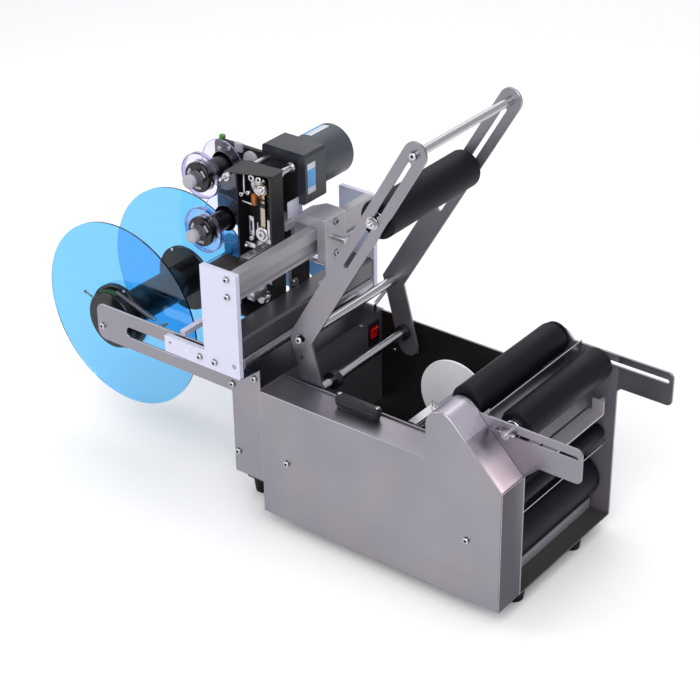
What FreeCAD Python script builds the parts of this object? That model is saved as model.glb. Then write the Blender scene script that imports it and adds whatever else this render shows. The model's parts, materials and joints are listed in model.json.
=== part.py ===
import FreeCAD, Part
import math
import os

# Bench labeling machine for round containers, with a hot-stamp date coder.
# Working frame in millimetres: x = 0 is the front face of the side walls and +X
# points out of the front, y = 0 is the outer face of the near housing and +Y goes
# to the far wall, z = 0 is the underside of the housing.
V = FreeCAD.Vector
ACROSS = V(0, 1, 0)

# Shared clearances
running_gap = 0.05
rest_gap = 0.3
slide_gap = 0.3

# Side housing
housing_length = 413.0
cover_width = 52.0
front_height = 196.0
ledge_height = front_height + 10.0
cover_sheet = 1.5
wall_sheet = 3.0
wall_gap = 236.4
wall_height = ledge_height + 2.5
hump_back = 125.0
hump_radius = 25.0

# Slotted roller arms of the side walls
slot_arm_reach = 86.7
slot_arm_bottom = front_height + 21.5
slot_arm_top = slot_arm_bottom + 52.6
slot_arm_corner = 9.0
near_arm_root = 22.0
far_arm_root = 6.0
roller_slot_start = -55.0
roller_slot_end = 80.0
roller_slot_height = slot_arm_bottom + 38.0
roller_slot_width = 6.0

# Base tray and feet
tray_sheet = 2.0
tray_front_lip = 33.0
tray_step_height = 18.0
tray_step_back = 120.0
tray_rear = housing_length + 79.0
foot_height = 25.0
foot_top_radius = 17.0
foot_bottom_radius = 14.0
foot_front_inset = 22.0
foot_rear_inset = housing_length + 61.0
foot_near_inset = 18.0
foot_spacing = 150.0

# Control box behind the side housing
box_rear = housing_length + 53.0
box_bottom = 51.5
box_top = ledge_height + 4.0
box_sheet = 1.5
rocker_far_inset = 22.4
rocker_height_z = box_top - 32.0
rocker_width = 14.0
rocker_length = 27.0
rocker_depth = 10.0
rocker_tilt = 10.0
rocker_swing_room = 2.0
inlet_near_inset = 60.0
inlet_height_z = box_bottom + 58.5
inlet_width = 27.0
inlet_tall = 20.0
inlet_depth = 22.0
inlet_flange = 4.0
inlet_flange_sheet = 2.0

# Bow handle on the ledge
handle_front = -housing_length + 185.0
handle_rear = handle_front - 72.0
handle_radius = 10.0
handle_inset_y = 36.0
handle_gap = 2.0
handle_post_radius = 7.0
handle_post_inset = 15.0

# Rollers between the side walls
roller_end_gap = 3.0
journal_overhang = 2.0
roller_a_x = -99.0
roller_a_z = slot_arm_top + 2.9
roller_a_radius = 24.5
roller_a_journal = 5.0
roller_a_neck = 12.0
roller_a_neck_place = 12.4
roller_a_cap = 22.0
roller_a_cap_place = 8.4
roller_a_cap_sheet = 4.0
roller_b_x = -27.0
roller_b_radius = 25.0
roller_b_core = 7.0
roller_b_far_gap = 8.0
guide_x = -25.0
guide_z = front_height - 57.0
guide_radius = 12.0
guide_journal = 4.0
drive_x = -48.0
drive_z = 58.0
drive_radius = 33.0
drive_shaft_radius = 6.0
roller_edge = 4.0

# Wing nuts on the adjustable roller
wing_hub_radius = 6.5
wing_nut_height = 8.0
wing_share = 0.8
wing_span = 26.0
wing_sheet = 3.0
wing_stud_length = 12.0

# Peel plate and label sensor
peel_sheet = 2.0
peel_top_x = -60.0
peel_top_z = slot_arm_top + 4.9
peel_bend_x = -64.0
peel_bend_z = peel_top_z - 40.0
peel_foot_x = -30.0
peel_foot_z = peel_bend_z - 45.0
sensor_x = -22.0
sensor_z = peel_foot_z - 10.0
sensor_width = 25.0
sensor_sheet = 3.0
sensor_length = 127.0
sensor_stud = 15.4
sensor_tab = 20.0
sensor_tab_rear = 6.0
sensor_stud_radius = 4.0

# Winder for the spent backing strip
winder_x = -214.0
winder_z = ledge_height - 38.0
winder_shaft_radius = 8.0
winder_disc_radius = 60.0
winder_disc_sheet = 3.0
winder_disc_y = 200.0
winder_hub_length = 4.0
clip_start_y = 95.0
clip_length = 56.0
clip_width = 14.0
clip_sheet = 2.0
clip_rise = 10.0

# Belt drive inside the near housing
drive_motor_x = -housing_length + 83.0
drive_motor_z = 50.0
drive_motor_radius = 28.0
drive_motor_length = 95.0
motor_boss_radius = 12.0
motor_shaft_radius = 5.0
motor_pulley_radius = 12.0
driven_pulley_radius = 20.0
pulley_flange = 3.0
pulley_flange_sheet = 2.0
belt_width = 12.0
belt_sheet = 2.0
belt_y = 26.0

# Swinging press arms
pivot_x = -housing_length + 53.0
pivot_z = ledge_height - 11.0
arm_top_x = pivot_x + 175.0
arm_top_z = pivot_z + 417.5
arm_bend_x = pivot_x - 22.0
arm_bend_z = pivot_z + 81.0
arm_tail_x = pivot_x + 6.0
arm_tail_z = pivot_z - 22.0
arm_width = 36.0
arm_sheet = 4.0
arm_wall_gap = 1.5
far_arm_wall_gap = 9.4
arm_slot_start = 18.0
arm_slot_end = 226.0
arm_slot_width = 7.0
pivot_radius = 7.0
tie_rod_radius = 7.0
handle_bar_radius = 6.0
bar_overhang = 3.0
press_roller_place = 134.0
press_roller_radius = 28.0
press_roller_core = 8.0
press_roller_gap = 5.5
nut_flats = 13.0
nut_height = 5.0
collar_radius = 12.0
collar_length = 9.0
collar_edge = 1.0
wide_collar_radius = 14.0
wide_collar_y = 97.0
wide_collar_length = 12.0
tie_rod_tail = 7.5
spring_radius = 3.0
spring_lug_radius = 2.0
spring_lug_height = 8.0
spring_lug_inset = 8.0

# Label reel
reel_arm_sheet = 3.0
reel_arm_top = ledge_height + 43.0
reel_arm_bottom = reel_arm_top - 60.5
reel_arm_corner = 15.0
reel_arm_rear = housing_length + 318.0
reel_slot_start = reel_arm_rear - 59.0
reel_slot_end = reel_slot_start - 121.0
reel_slot_height = reel_arm_top - 31.5
reel_slot_width = 17.0
ear_height = reel_arm_top - 9.0
ear_foot = reel_arm_top - 37.0
ear_run = 36.0
ear_notch = 10.0
reel_x = -reel_arm_rear + 11.0
reel_z = reel_arm_top - 37.0
reel_shaft_radius = 6.0
reel_disc_radius = 150.0
reel_disc_sheet = 3.0
reel_disc_gap = 147.0
near_disc_y = 41.5
reel_core_radius = 27.0
reel_seat_radius = 12.0
brake_drum_radius = 45.0
brake_drum_length = 15.0
near_flange_radius = 56.0
near_flange_length = 10.0
flange_edge = 2.0
far_flange_radius = 54.0
far_flange_length = 6.0
reel_end_hub_radius = 20.0
reel_end_hub_length = 9.5
strap_sheet = 1.5
strap_width = 9.0
strap_inset = 3.5
strap_sweep = 200.0
strap_end_angle = 75.0
brake_spring_radius = 3.5
brake_spring_x = reel_x + 113.0
brake_spring_angle = 80.0
brake_spring_z = reel_arm_top - 6.0

# Label head frame
head_plate_sheet = 8.0
near_head_gap = 7.0
far_head_gap = 6.1
head_front = housing_length + 23.0
head_leg_rear = head_front + 66.0
head_tail_rear = head_front + 143.0
head_bottom = reel_arm_top - 26.0
head_top = head_bottom + 167.0
head_tail_top = head_bottom + 27.0
head_corner = 2.0
spare_hole_inset = 10.0
spare_hole_radius = 2.5
spacer_radius = 6.0
spacer_height = head_bottom + 14.0
spacer_places = (head_front + 101.0, head_front + 75.0, head_front + 46.5)
rail_screw_heights = (head_top - 10.0, head_top - 37.5)
rail_screw_back = 16.5
rail_depth = 40.0
rail_height = 43.0
rail_groove = 3.0
rail_edge = 1.0
rail_upper_lip = 17.0
rail_lower_lip = 5.0
rail_front_recess = 6.0
lower_rail_top = head_bottom + 61.0
lower_rail_front = head_front + 2.0
lower_rail_depth = 40.0
lower_rail_drop = 30.0
lower_rail_sheet = 3.0
tube_x = -head_front - 10.0
tube_z = head_bottom + 19.0
tube_radius = 10.5
tube_edge = 1.0
tube_journal = 4.0
tube_end_gap = 3.0
cross_bar_front = head_front + 116.0
cross_bar_width = 9.0
cross_bar_height = 8.0

# Coder carriage on the front rail
carriage_near_y = 118.0
clamp_jaw_lap = 11.0
clamp_jaw_width = 50.0
clamp_height = 16.0
clamp_slope_run = 20.0
clamp_slope_drop = 12.0
clamp_arm_height = 12.0
clamp_front_wall = 15.7
clamp_rear_wall = 8.0
clamp_front_drop = 9.0
clamp_rear_drop = 30.0
clamp_arm_rear = head_front + 74.0
bracket_drop = 24.0
bracket_reach = 12.0
bracket_sheet = 3.0
bracket_lead = 16.0
bracket_width = 54.0
clamp_hole_reach = 25.0
clamp_hole_inset = 9.0
clamp_hole_radius = 2.6
lock_screw_reach = 19.0
lock_screw_z = head_top - 15.0
lock_screw_radius = 3.0
lock_screw_bite = 12.0
lock_knob_neck = 4.0
lock_knob_radius = 5.0
lock_knob_length = 22.0

# Coder
coder_front = head_front + 44.0
coder_rear = coder_front + 65.0
coder_top = head_top + 88.0
coder_bottom = coder_top - 228.0
platen_reach = 23.0
platen_sheet = 4.0
coder_depth = 28.0
coder_wall = 3.0
coder_top_corner = 4.0
coder_foot_corner = 2.0
back_plate_gap = 31.0
back_plate_sheet = 7.0
back_plate_rear = coder_front + 154.0
back_plate_bottom = coder_top - 133.0
back_plate_leg = 16.0
back_plate_corner = 8.0
foot_flange_lead = 9.0
foot_flange_width = 39.0
foot_flange_sheet = 4.0
foot_flange_height = 66.0
back_plate_foot = coder_top - 228.0
post_radius = 5.0
gearbox_size = 80.0
gearbox_length = 48.0
gearbox_corner = 6.0
coder_motor_x = -coder_front - 29.0
coder_motor_z = coder_top - 28.0
coder_motor_radius = 39.0
coder_motor_length = 70.0
coder_motor_edge = 3.0
crank_z = coder_top - 26.0
crank_throw = 10.0
crank_disc_radius = 15.0
crank_disc_sheet = 6.0
crank_wall_gap = 15.0
crank_shaft_radius = 5.0
crank_hole_play = 1.0
pin_end = 2.0
crank_pin_radius = 4.0
rod_length = 71.0
rod_sheet = 6.0
rod_eye_radius = 9.0
rod_shank = 8.0
head_pin_radius = 3.5
head_pin_play = 1.6
head_pin_shift = 1.17
head_block_width = 32.0
head_block_depth = 14.0
head_block_height = 46.0
head_block_above = 12.0
head_stem_width = 24.0
head_stem_inset = 2.0
head_stem_bottom = coder_top - 182.0

# Ribbon reels
ribbon_x = -coder_front - 105.0
ribbon_heights = (coder_top - 15.0, coder_top - 102.0)
ribbon_near_radius = 35.0
ribbon_far_radius = 39.0
ribbon_hub_radius = 23.0
ribbon_disc_sheet = 2.0
ribbon_core_radius = 15.0
ribbon_spindle_radius = 5.0
ribbon_knob_radius = 10.0
ribbon_knob_length = 20.0
ribbon_knob_neck = 7.0
ribbon_span = 52.0
ribbon_disc_y = 86.0

# Cap screws
screw_radius = 4.5
screw_height = 4.0
screw_edge = 0.8
stud_radius = 2.5
stud_length = 18.0
side_screw_places = (
    (box_rear - 8.0, 88.0),
    (housing_length - 46.0, 101.0),
    (55.0, 100.0),
    (housing_length + 9.0, ear_foot + 12.0),
    (box_rear - 2.0, ear_foot - 11.0),
)
inner_screw_places = ((housing_length - 67.0, 157.0), (housing_length - 25.0, 147.0))

# Stations across the machine
near_inner = cover_width + wall_sheet
far_inner = near_inner + wall_gap
far_outer = far_inner + wall_sheet
far_arm_outer = far_outer + reel_arm_sheet
near_head_inner = -near_head_gap
near_head_outer = near_head_inner - head_plate_sheet
far_head_inner = far_arm_outer + far_head_gap
far_head_outer = far_head_inner + head_plate_sheet
roller_start = near_inner + roller_end_gap
roller_end = far_inner - roller_end_gap
near_arm_start = near_inner + arm_wall_gap
far_arm_end = far_inner - far_arm_wall_gap
far_disc_y = near_disc_y + reel_disc_sheet + reel_disc_gap
coder_back = carriage_near_y + coder_depth
back_plate_start = coder_back + back_plate_gap
back_plate_end = back_plate_start + back_plate_sheet
gearbox_end = back_plate_end + gearbox_length
clamp_jaw_near = back_plate_start - clamp_jaw_lap
bracket_near = clamp_jaw_near - bracket_lead
clamp_hole_y = clamp_jaw_near + clamp_hole_reach
lock_screw_y = clamp_jaw_near + lock_screw_reach
foot_flange_start = back_plate_start - foot_flange_lead

# Directions and places along the press arms
arm_run = math.hypot(arm_top_x - arm_bend_x, arm_top_z - arm_bend_z)
arm_down = V((arm_bend_x - arm_top_x) / arm_run, 0, (arm_bend_z - arm_top_z) / arm_run)
arm_top = V(arm_top_x, 0, arm_top_z)
press_axis = arm_top + arm_down * press_roller_place

# Place of the finished machine: feet on the ground, centred in plan
left_end = reel_x - reel_disc_radius
near_side = near_head_outer - screw_height
far_side = far_head_outer + screw_height
SHIFT = V(-(left_end + slot_arm_reach) / 2, -(near_side + far_side) / 2, foot_height)


def block(x0, x1, y0, y1, z0, z1):
    return Part.makeBox(x1 - x0, y1 - y0, z1 - z0, V(x0, y0, z0))


def rod_y(x, z, radius, y0, y1):
    return Part.makeCylinder(radius, y1 - y0, V(x, y0, z), ACROSS)


def rod_x(y, z, radius, x0, x1):
    return Part.makeCylinder(radius, x1 - x0, V(x0, y, z), V(1, 0, 0))


def rod_z(x, y, radius, z0, z1):
    return Part.makeCylinder(radius, z1 - z0, V(x, y, z0), V(0, 0, 1))


def outline(corners):
    """Closed wire in the XZ plane through (x, z, radius) corners, rounded by tangent arcs."""
    arrive = []
    middle = []
    leave = []
    count = len(corners)
    for index, (x, z, radius) in enumerate(corners):
        corner = V(x, 0, z)
        before = corners[index - 1]
        after = corners[(index + 1) % count]
        inward = (corner - V(before[0], 0, before[1])).normalize()
        outward = (V(after[0], 0, after[1]) - corner).normalize()
        turn = inward.getAngle(outward)
        reach = radius * math.tan(turn / 2)
        bisector = outward - inward
        if radius > 0:
            bisector.normalize()
        arrive.append(corner - inward * reach)
        leave.append(corner + outward * reach)
        middle.append(corner + bisector * (radius / math.cos(turn / 2) - radius))
    edges = []
    for index in range(count):
        following = (index + 1) % count
        if corners[index][2] > 0:
            edges.append(Part.Arc(arrive[index], middle[index], leave[index]).toShape())
        if leave[index].distanceToPoint(arrive[following]) > 1e-6:
            edges.append(Part.makeLine(leave[index], arrive[following]))
    return Part.Wire(edges)


def plate(corners, y0, y1):
    face = Part.Face(outline(corners))
    face.translate(V(0, y0, 0))
    return face.extrude(V(0, y1 - y0, 0))


def offset_path(points, distance):
    """The path moved sideways by a distance, with mitred bends."""
    moved = []
    for index, (x, z) in enumerate(points):
        first = points[max(index - 1, 0)]
        last = points[min(index + 1, len(points) - 1)]
        normals = []
        for start, end in ((first, (x, z)), ((x, z), last)):
            run = math.hypot(end[0] - start[0], end[1] - start[1])
            if run > 0:
                normals.append((-(end[1] - start[1]) / run, (end[0] - start[0]) / run))
        mean_x = sum(normal[0] for normal in normals) / len(normals)
        mean_z = sum(normal[1] for normal in normals) / len(normals)
        scale = distance / (mean_x * mean_x + mean_z * mean_z)
        moved.append((x + mean_x * scale, z + mean_z * scale))
    return moved


def bent_sheet(points, sheet, y0, y1):
    """Folded sheet whose one face follows the points, with small bend radii."""
    corners = []
    inner_bend = sheet * 0.5
    other = offset_path(points, sheet)
    for index, (x, z) in enumerate(points):
        corners.append((x, z, bend_radius(points, index, sheet, inner_bend, True)))
    for index in range(len(other) - 1, -1, -1):
        x, z = other[index]
        corners.append((x, z, bend_radius(points, index, sheet, inner_bend, False)))
    return plate(corners, y0, y1)


def bend_radius(points, index, sheet, inner_bend, first_side):
    if index == 0 or index == len(points) - 1:
        return 0
    ax = points[index][0] - points[index - 1][0]
    az = points[index][1] - points[index - 1][1]
    bx = points[index + 1][0] - points[index][0]
    bz = points[index + 1][1] - points[index][1]
    turns_left = ax * bz - az * bx > 0
    if turns_left == first_side:
        return inner_bend + sheet
    return inner_bend


def capsule(start, end, width, y0, y1):
    """Straight slot shape between two centres in the XZ plane."""
    run = math.hypot(end[0] - start[0], end[1] - start[1])
    half = width / 2
    ux = (end[0] - start[0]) / run * half
    uz = (end[1] - start[1]) / run * half
    corners = [
        (start[0] - ux - uz, start[1] - uz + ux, half),
        (start[0] - ux + uz, start[1] - uz - ux, half),
        (end[0] + ux + uz, end[1] + uz - ux, half),
        (end[0] + ux - uz, end[1] + uz + ux, half),
    ]
    return plate(corners, y0, y1)


def turned(x, z, steps, edge=0.0):
    """Solid of revolution along Y from (y, radius) steps, each radius held to the next y."""
    points = [V(x, steps[0][0], z)]
    for (y, radius), (next_y, _) in zip(steps, steps[1:]):
        points.append(V(x + radius, y, z))
        points.append(V(x + radius, next_y, z))
    points.append(V(x, steps[-1][0], z))
    points.append(points[0])
    solid = Part.Face(Part.makePolygon(points)).revolve(V(x, 0, z), ACROSS, 360)
    if edge > 0:
        widest = max(radius for _, radius in steps)
        rims = [e for e in solid.Edges if is_rim(e, widest)]
        solid = solid.makeFillet(edge, rims)
    return solid


def is_rim(edge, radius):
    return hasattr(edge.Curve, "Radius") and abs(edge.Curve.Radius - radius) < 1e-6


def hex_nut(x, z, flats, y0, y1):
    corners = []
    for index in range(6):
        angle = math.radians(60 * index)
        reach = flats / math.sqrt(3)
        corners.append((x + reach * math.cos(angle), z + reach * math.sin(angle), 0))
    return plate(corners, y0, y1)


def cap_screw(x, z, seat_y, side):
    """Round screw head on a face square to Y; side is -1 toward the near side."""
    y0 = min(seat_y, seat_y + side * screw_height)
    head = rod_y(x, z, screw_radius, y0, y0 + screw_height)
    outer_y = seat_y + side * screw_height
    rims = [e for e in head.Edges if is_rim(e, screw_radius) and abs(e.Curve.Center.y - outer_y) < 1e-6]
    return head.makeChamfer(screw_edge, rims)


def joined(shapes):
    whole = shapes[0]
    for shape in shapes[1:]:
        whole = whole.fuse(shape)
    return whole.removeSplitter()


def slope_top_at(x):
    """Height of the 45 degree front slope above a place behind the front face."""
    return front_height - x


def cover_corners():
    return [
        (-housing_length, 0, 0),
        (0, 0, 0),
        (0, front_height, 0),
        (-hump_back, slope_top_at(-hump_back), hump_radius),
        (-hump_back, ledge_height, 0),
        (-housing_length, ledge_height, 0),
    ]


def near_cover():
    outer = Part.Face(outline(cover_corners()))
    pocket = outer.makeOffset2D(-cover_sheet)
    pocket.translate(V(0, cover_sheet, 0))
    shell = outer.extrude(V(0, cover_width, 0))
    return shell.cut(pocket.extrude(V(0, cover_width, 0)))


def wall_corners(arm_root, rear_corners):
    return rear_corners + [
        (0, 0, 0),
        (0, slot_arm_bottom - arm_root, 0),
        (arm_root, slot_arm_bottom, 0),
        (slot_arm_reach, slot_arm_bottom, slot_arm_corner),
        (slot_arm_reach, slot_arm_top, slot_arm_corner),
        (front_height - slot_arm_top, slot_arm_top, 0),
        (-hump_back, slope_top_at(-hump_back), hump_radius),
        (-hump_back, wall_height, 0),
    ]


def wall_holes(y0, y1):
    half_slot = roller_slot_width / 2
    slot_start = (roller_slot_start + half_slot, roller_slot_height)
    slot_end = (roller_slot_end - half_slot, roller_slot_height)
    cuts = [capsule(slot_start, slot_end, roller_slot_width, y0, y1)]
    cuts.append(rod_y(roller_a_x, roller_a_z, roller_a_journal + running_gap, y0, y1))
    cuts.append(rod_y(guide_x, guide_z, guide_journal + running_gap, y0, y1))
    cuts.append(rod_y(drive_x, drive_z, drive_shaft_radius + running_gap, y0, y1))
    cuts.append(rod_y(pivot_x, pivot_z, pivot_radius, y0, y1))
    return cuts


def near_side_plate():
    rear = [(-housing_length, wall_height, 0), (-housing_length, 0, 0)]
    wall = plate(wall_corners(near_arm_root, rear), cover_width, near_inner)
    cuts = wall_holes(cover_width, near_inner)
    cuts.append(rod_y(winder_x, winder_z, winder_shaft_radius + running_gap, cover_width, near_inner))
    cuts.append(rod_y(drive_motor_x, drive_motor_z, motor_boss_radius, cover_width, near_inner))
    return wall.cut(cuts)


def far_side_plate():
    rear = [(-box_rear, wall_height, 0), (-box_rear, 0, 0)]
    wall = plate(wall_corners(far_arm_root, rear), far_inner, far_outer)
    return wall.cut(wall_holes(far_inner, far_outer))


def base_tray():
    path = [
        (-tray_rear, 0),
        (-tray_step_back, 0),
        (-tray_step_back, tray_step_height),
        (-tray_front_lip, tray_step_height),
        (-tray_front_lip, 0),
        (0, 0),
    ]
    return bent_sheet(path, tray_sheet, near_inner, far_inner)


def rubber_feet():
    feet = []
    for x in (-foot_front_inset, -foot_rear_inset):
        for place in (0, 1):
            y = near_inner + foot_near_inset + place * foot_spacing
            foot = Part.makeCone(foot_bottom_radius, foot_top_radius, foot_height, V(x, y, -foot_height))
            feet.append(foot)
    return Part.makeCompound(feet)


def spring_y():
    """Middle of the free strip between the far press arm and the far wall."""
    return far_arm_end + tie_rod_tail / 2


def rocker_y():
    return far_inner - rocker_far_inset


def control_box():
    front = -housing_length
    shell = block(-box_rear, front, reel_arm_sheet, far_inner, box_bottom, box_top)
    inside = block(-box_rear + box_sheet, front - box_sheet, reel_arm_sheet + box_sheet,
                   far_inner - box_sheet, box_bottom, box_top - box_sheet)
    half_width = rocker_width / 2 + rest_gap
    half_length = rocker_length / 2 + rocker_swing_room
    window = block(front - box_sheet, front, rocker_y() - half_width, rocker_y() + half_width,
                   rocker_height_z - half_length, rocker_height_z + half_length)
    inlet_y = reel_arm_sheet + inlet_near_inset
    socket = block(-box_rear, -box_rear + box_sheet, inlet_y, inlet_y + inlet_width,
                   inlet_height_z, inlet_height_z + inlet_tall)
    lug = rod_z(front - spring_lug_inset, spring_y(), spring_lug_radius, box_top,
                box_top + spring_lug_height)
    return joined([shell.cut([inside, window, socket]), lug])


def power_inlet():
    y = reel_arm_sheet + inlet_near_inset
    z = inlet_height_z
    body = block(-box_rear, -box_rear + inlet_depth, y, y + inlet_width, z, z + inlet_tall)
    flange = block(-box_rear - inlet_flange_sheet, -box_rear, y - inlet_flange,
                   y + inlet_width + inlet_flange, z - inlet_flange, z + inlet_tall + inlet_flange)
    recess = block(-box_rear - inlet_flange_sheet, -box_rear + inlet_depth - inlet_flange,
                   y + inlet_flange_sheet, y + inlet_width - inlet_flange_sheet,
                   z + inlet_flange_sheet, z + inlet_tall - inlet_flange_sheet)
    return joined([body, flange]).cut(recess)


def power_rocker():
    half = rocker_length / 2
    middle_x = -housing_length
    z = rocker_height_z
    corners = [
        (middle_x - rocker_depth / 2, z - half / 2, 1),
        (middle_x + rocker_depth / 2, z - half, 1),
        (middle_x + rocker_depth / 4, z, 0),
        (middle_x + rocker_depth / 2, z + half, 1),
        (middle_x - rocker_depth / 2, z + half / 2, 1),
    ]
    paddle = plate(corners, rocker_y() - rocker_width / 2, rocker_y() + rocker_width / 2)
    paddle.rotate(V(middle_x, 0, z), ACROSS, rocker_tilt)
    return paddle


def ledge_handle():
    z = ledge_height + handle_gap + handle_radius
    bar = rod_x(handle_inset_y, z, handle_radius, handle_rear, handle_front)
    ends = [e for e in bar.Edges if is_rim(e, handle_radius)]
    bar = bar.makeChamfer(handle_radius / 3, ends)
    posts = []
    for x in (handle_rear + handle_post_inset, handle_front - handle_post_inset):
        posts.append(rod_z(x, handle_inset_y, handle_post_radius, ledge_height, z))
    return joined([bar] + posts)


def reel_arm_slot(y0, y1):
    half = reel_slot_width / 2
    start = (-reel_slot_start + half, reel_slot_height)
    end = (-reel_slot_end - half, reel_slot_height)
    return capsule(start, end, reel_slot_width, y0, y1)


def near_reel_arm():
    front = -housing_length
    notch = front - ear_run
    corners = [
        (-box_rear, box_bottom, 0),
        (front, box_bottom, 0),
        (front, ear_height, 0),
        (notch, ear_foot, 0),
        (notch - ear_notch, ear_foot, 0),
        (notch - ear_notch, reel_arm_top, 0),
        (-reel_arm_rear, reel_arm_top, reel_arm_corner),
        (-reel_arm_rear, reel_arm_bottom, reel_arm_corner),
        (-box_rear, reel_arm_bottom, 0),
    ]
    arm = plate(corners, 0, reel_arm_sheet)
    seat = rod_y(reel_x, reel_z, reel_shaft_radius, 0, reel_arm_sheet)
    return arm.cut([reel_arm_slot(0, reel_arm_sheet), seat])


def far_reel_arm():
    notch_end = -housing_length - ear_run - ear_notch
    corners = [
        (-housing_length, reel_arm_bottom, 0),
        (-housing_length, wall_height, 0),
        (notch_end, wall_height, 0),
        (notch_end, reel_arm_top, 0),
        (-reel_arm_rear, reel_arm_top, reel_arm_corner),
        (-reel_arm_rear, reel_arm_bottom, reel_arm_corner),
    ]
    arm = plate(corners, far_outer, far_arm_outer)
    seat = rod_y(reel_x, reel_z, reel_shaft_radius, far_outer, far_arm_outer)
    return arm.cut([reel_arm_slot(far_outer, far_arm_outer), seat])


def peel_plate():
    path = [(peel_foot_x, peel_foot_z), (peel_bend_x, peel_bend_z), (peel_top_x, peel_top_z)]
    return bent_sheet(path, peel_sheet, near_inner, far_inner)


def sensor_bar():
    end = far_inner - sensor_stud
    half = sensor_width / 2
    strip = block(sensor_x - half, sensor_x + half, end - sensor_length, end,
                  sensor_z - sensor_sheet, sensor_z)
    tab = block(sensor_x - sensor_tab_rear, sensor_x + half, end - sensor_sheet, end, sensor_z,
                sensor_z + sensor_tab)
    stud = rod_y(sensor_x, sensor_z + sensor_tab / 2, sensor_stud_radius, end, far_inner)
    return joined([strip, tab, stud])


def roller_a():
    steps = [
        (cover_width - journal_overhang, roller_a_journal),
        (roller_start, roller_a_radius),
        (roller_end - roller_a_neck_place, roller_a_neck),
        (roller_end - roller_a_cap_place, roller_a_cap),
        (roller_end - roller_a_cap_place + roller_a_cap_sheet, roller_a_journal),
        (far_outer + journal_overhang, 0),
    ]
    return turned(roller_a_x, roller_a_z, steps, roller_edge)


def roller_b():
    far_end = roller_end - roller_b_far_gap
    steps = [(roller_start, roller_b_radius), (far_end, 0)]
    sleeve = turned(roller_b_x, roller_slot_height, steps, roller_edge)
    bore = rod_y(roller_b_x, roller_slot_height, roller_b_core + running_gap, roller_start, far_end)
    return sleeve.cut(bore)


def roller_b_shaft():
    stud = roller_slot_width / 2 - running_gap
    steps = [
        (cover_width - wing_stud_length, stud),
        (near_inner + rest_gap, roller_b_core),
        (far_inner - rest_gap, stud),
        (far_outer + wing_stud_length, 0),
    ]
    return turned(roller_b_x, roller_slot_height, steps)


def wing_nut(seat_y, side):
    """Wing nut against a wall face; side is -1 on the near side."""
    x = roller_b_x
    z = roller_slot_height
    y0 = min(seat_y + side * rest_gap, seat_y + side * (rest_gap + wing_nut_height))
    y1 = y0 + wing_nut_height
    hub = rod_y(x, z, wing_hub_radius, y0, y1)
    half = wing_span / 2
    lip = wing_nut_height * wing_share
    wings = capsule((x - half + lip / 2, z), (x + half - lip / 2, z), lip, 0, wing_sheet)
    wings.rotate(V(x, 0, z), V(1, 0, 0), 90)
    wings.translate(V(0, (y0 + y1) / 2, wing_sheet / 2))
    bore = rod_y(x, z, roller_slot_width / 2, y0, y1)
    return joined([hub, wings]).cut(bore)


def guide_roller():
    steps = [
        (cover_width - journal_overhang, guide_journal),
        (roller_start, guide_radius),
        (roller_end, guide_journal),
        (far_outer + journal_overhang, 0),
    ]
    return turned(guide_x, guide_z, steps, roller_edge / 2)


def drive_roller():
    sleeve = turned(drive_x, drive_z, [(roller_start, drive_radius), (roller_end, 0)], roller_edge)
    return sleeve.cut(rod_y(drive_x, drive_z, drive_shaft_radius, roller_start, roller_end))


def pulley_steps(shaft_radius, pulley_radius):
    flange = pulley_radius + pulley_flange
    return [
        (belt_y - 2 * pulley_flange_sheet, shaft_radius),
        (belt_y - pulley_flange_sheet, flange),
        (belt_y, pulley_radius),
        (belt_y + belt_width, flange),
        (belt_y + belt_width + pulley_flange_sheet, shaft_radius),
    ]


def drive_shaft():
    steps = pulley_steps(drive_shaft_radius, driven_pulley_radius)
    steps.append((far_outer + journal_overhang, 0))
    return turned(drive_x, drive_z, steps)


def winder_shaft():
    steps = pulley_steps(winder_shaft_radius, driven_pulley_radius)
    steps.append((winder_disc_y + winder_disc_sheet + winder_hub_length, 0))
    shaft = turned(winder_x, winder_z, steps)
    half = clip_width / 2
    clip_z = winder_z + clip_rise
    clip_end = clip_start_y + clip_length
    strip = block(winder_x - half, winder_x + half, clip_start_y, clip_end, clip_z, clip_z + clip_sheet)
    posts = []
    for y in (clip_start_y, clip_end - clip_sheet):
        posts.append(block(winder_x - half, winder_x + half, y, y + clip_sheet, winder_z, clip_z))
    return joined([shaft, strip] + posts)


def winder_disc():
    disc = turned(winder_x, winder_z, [(winder_disc_y, winder_disc_radius),
                                       (winder_disc_y + winder_disc_sheet, 0)], winder_disc_sheet / 4)
    return disc.cut(rod_y(winder_x, winder_z, winder_shaft_radius, winder_disc_y,
                          winder_disc_y + winder_disc_sheet))


def drive_motor():
    steps = [
        (cover_width, motor_boss_radius),
        (near_inner, drive_motor_radius),
        (near_inner + drive_motor_length, 0),
    ]
    motor = turned(drive_motor_x, drive_motor_z, steps)
    return motor.cut(rod_y(drive_motor_x, drive_motor_z, motor_shaft_radius + running_gap,
                           cover_width, near_inner + motor_boss_radius))


def motor_pulley():
    steps = pulley_steps(motor_shaft_radius, motor_pulley_radius)
    steps.append((near_inner + motor_boss_radius - rest_gap, 0))
    return turned(drive_motor_x, drive_motor_z, steps)


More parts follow.
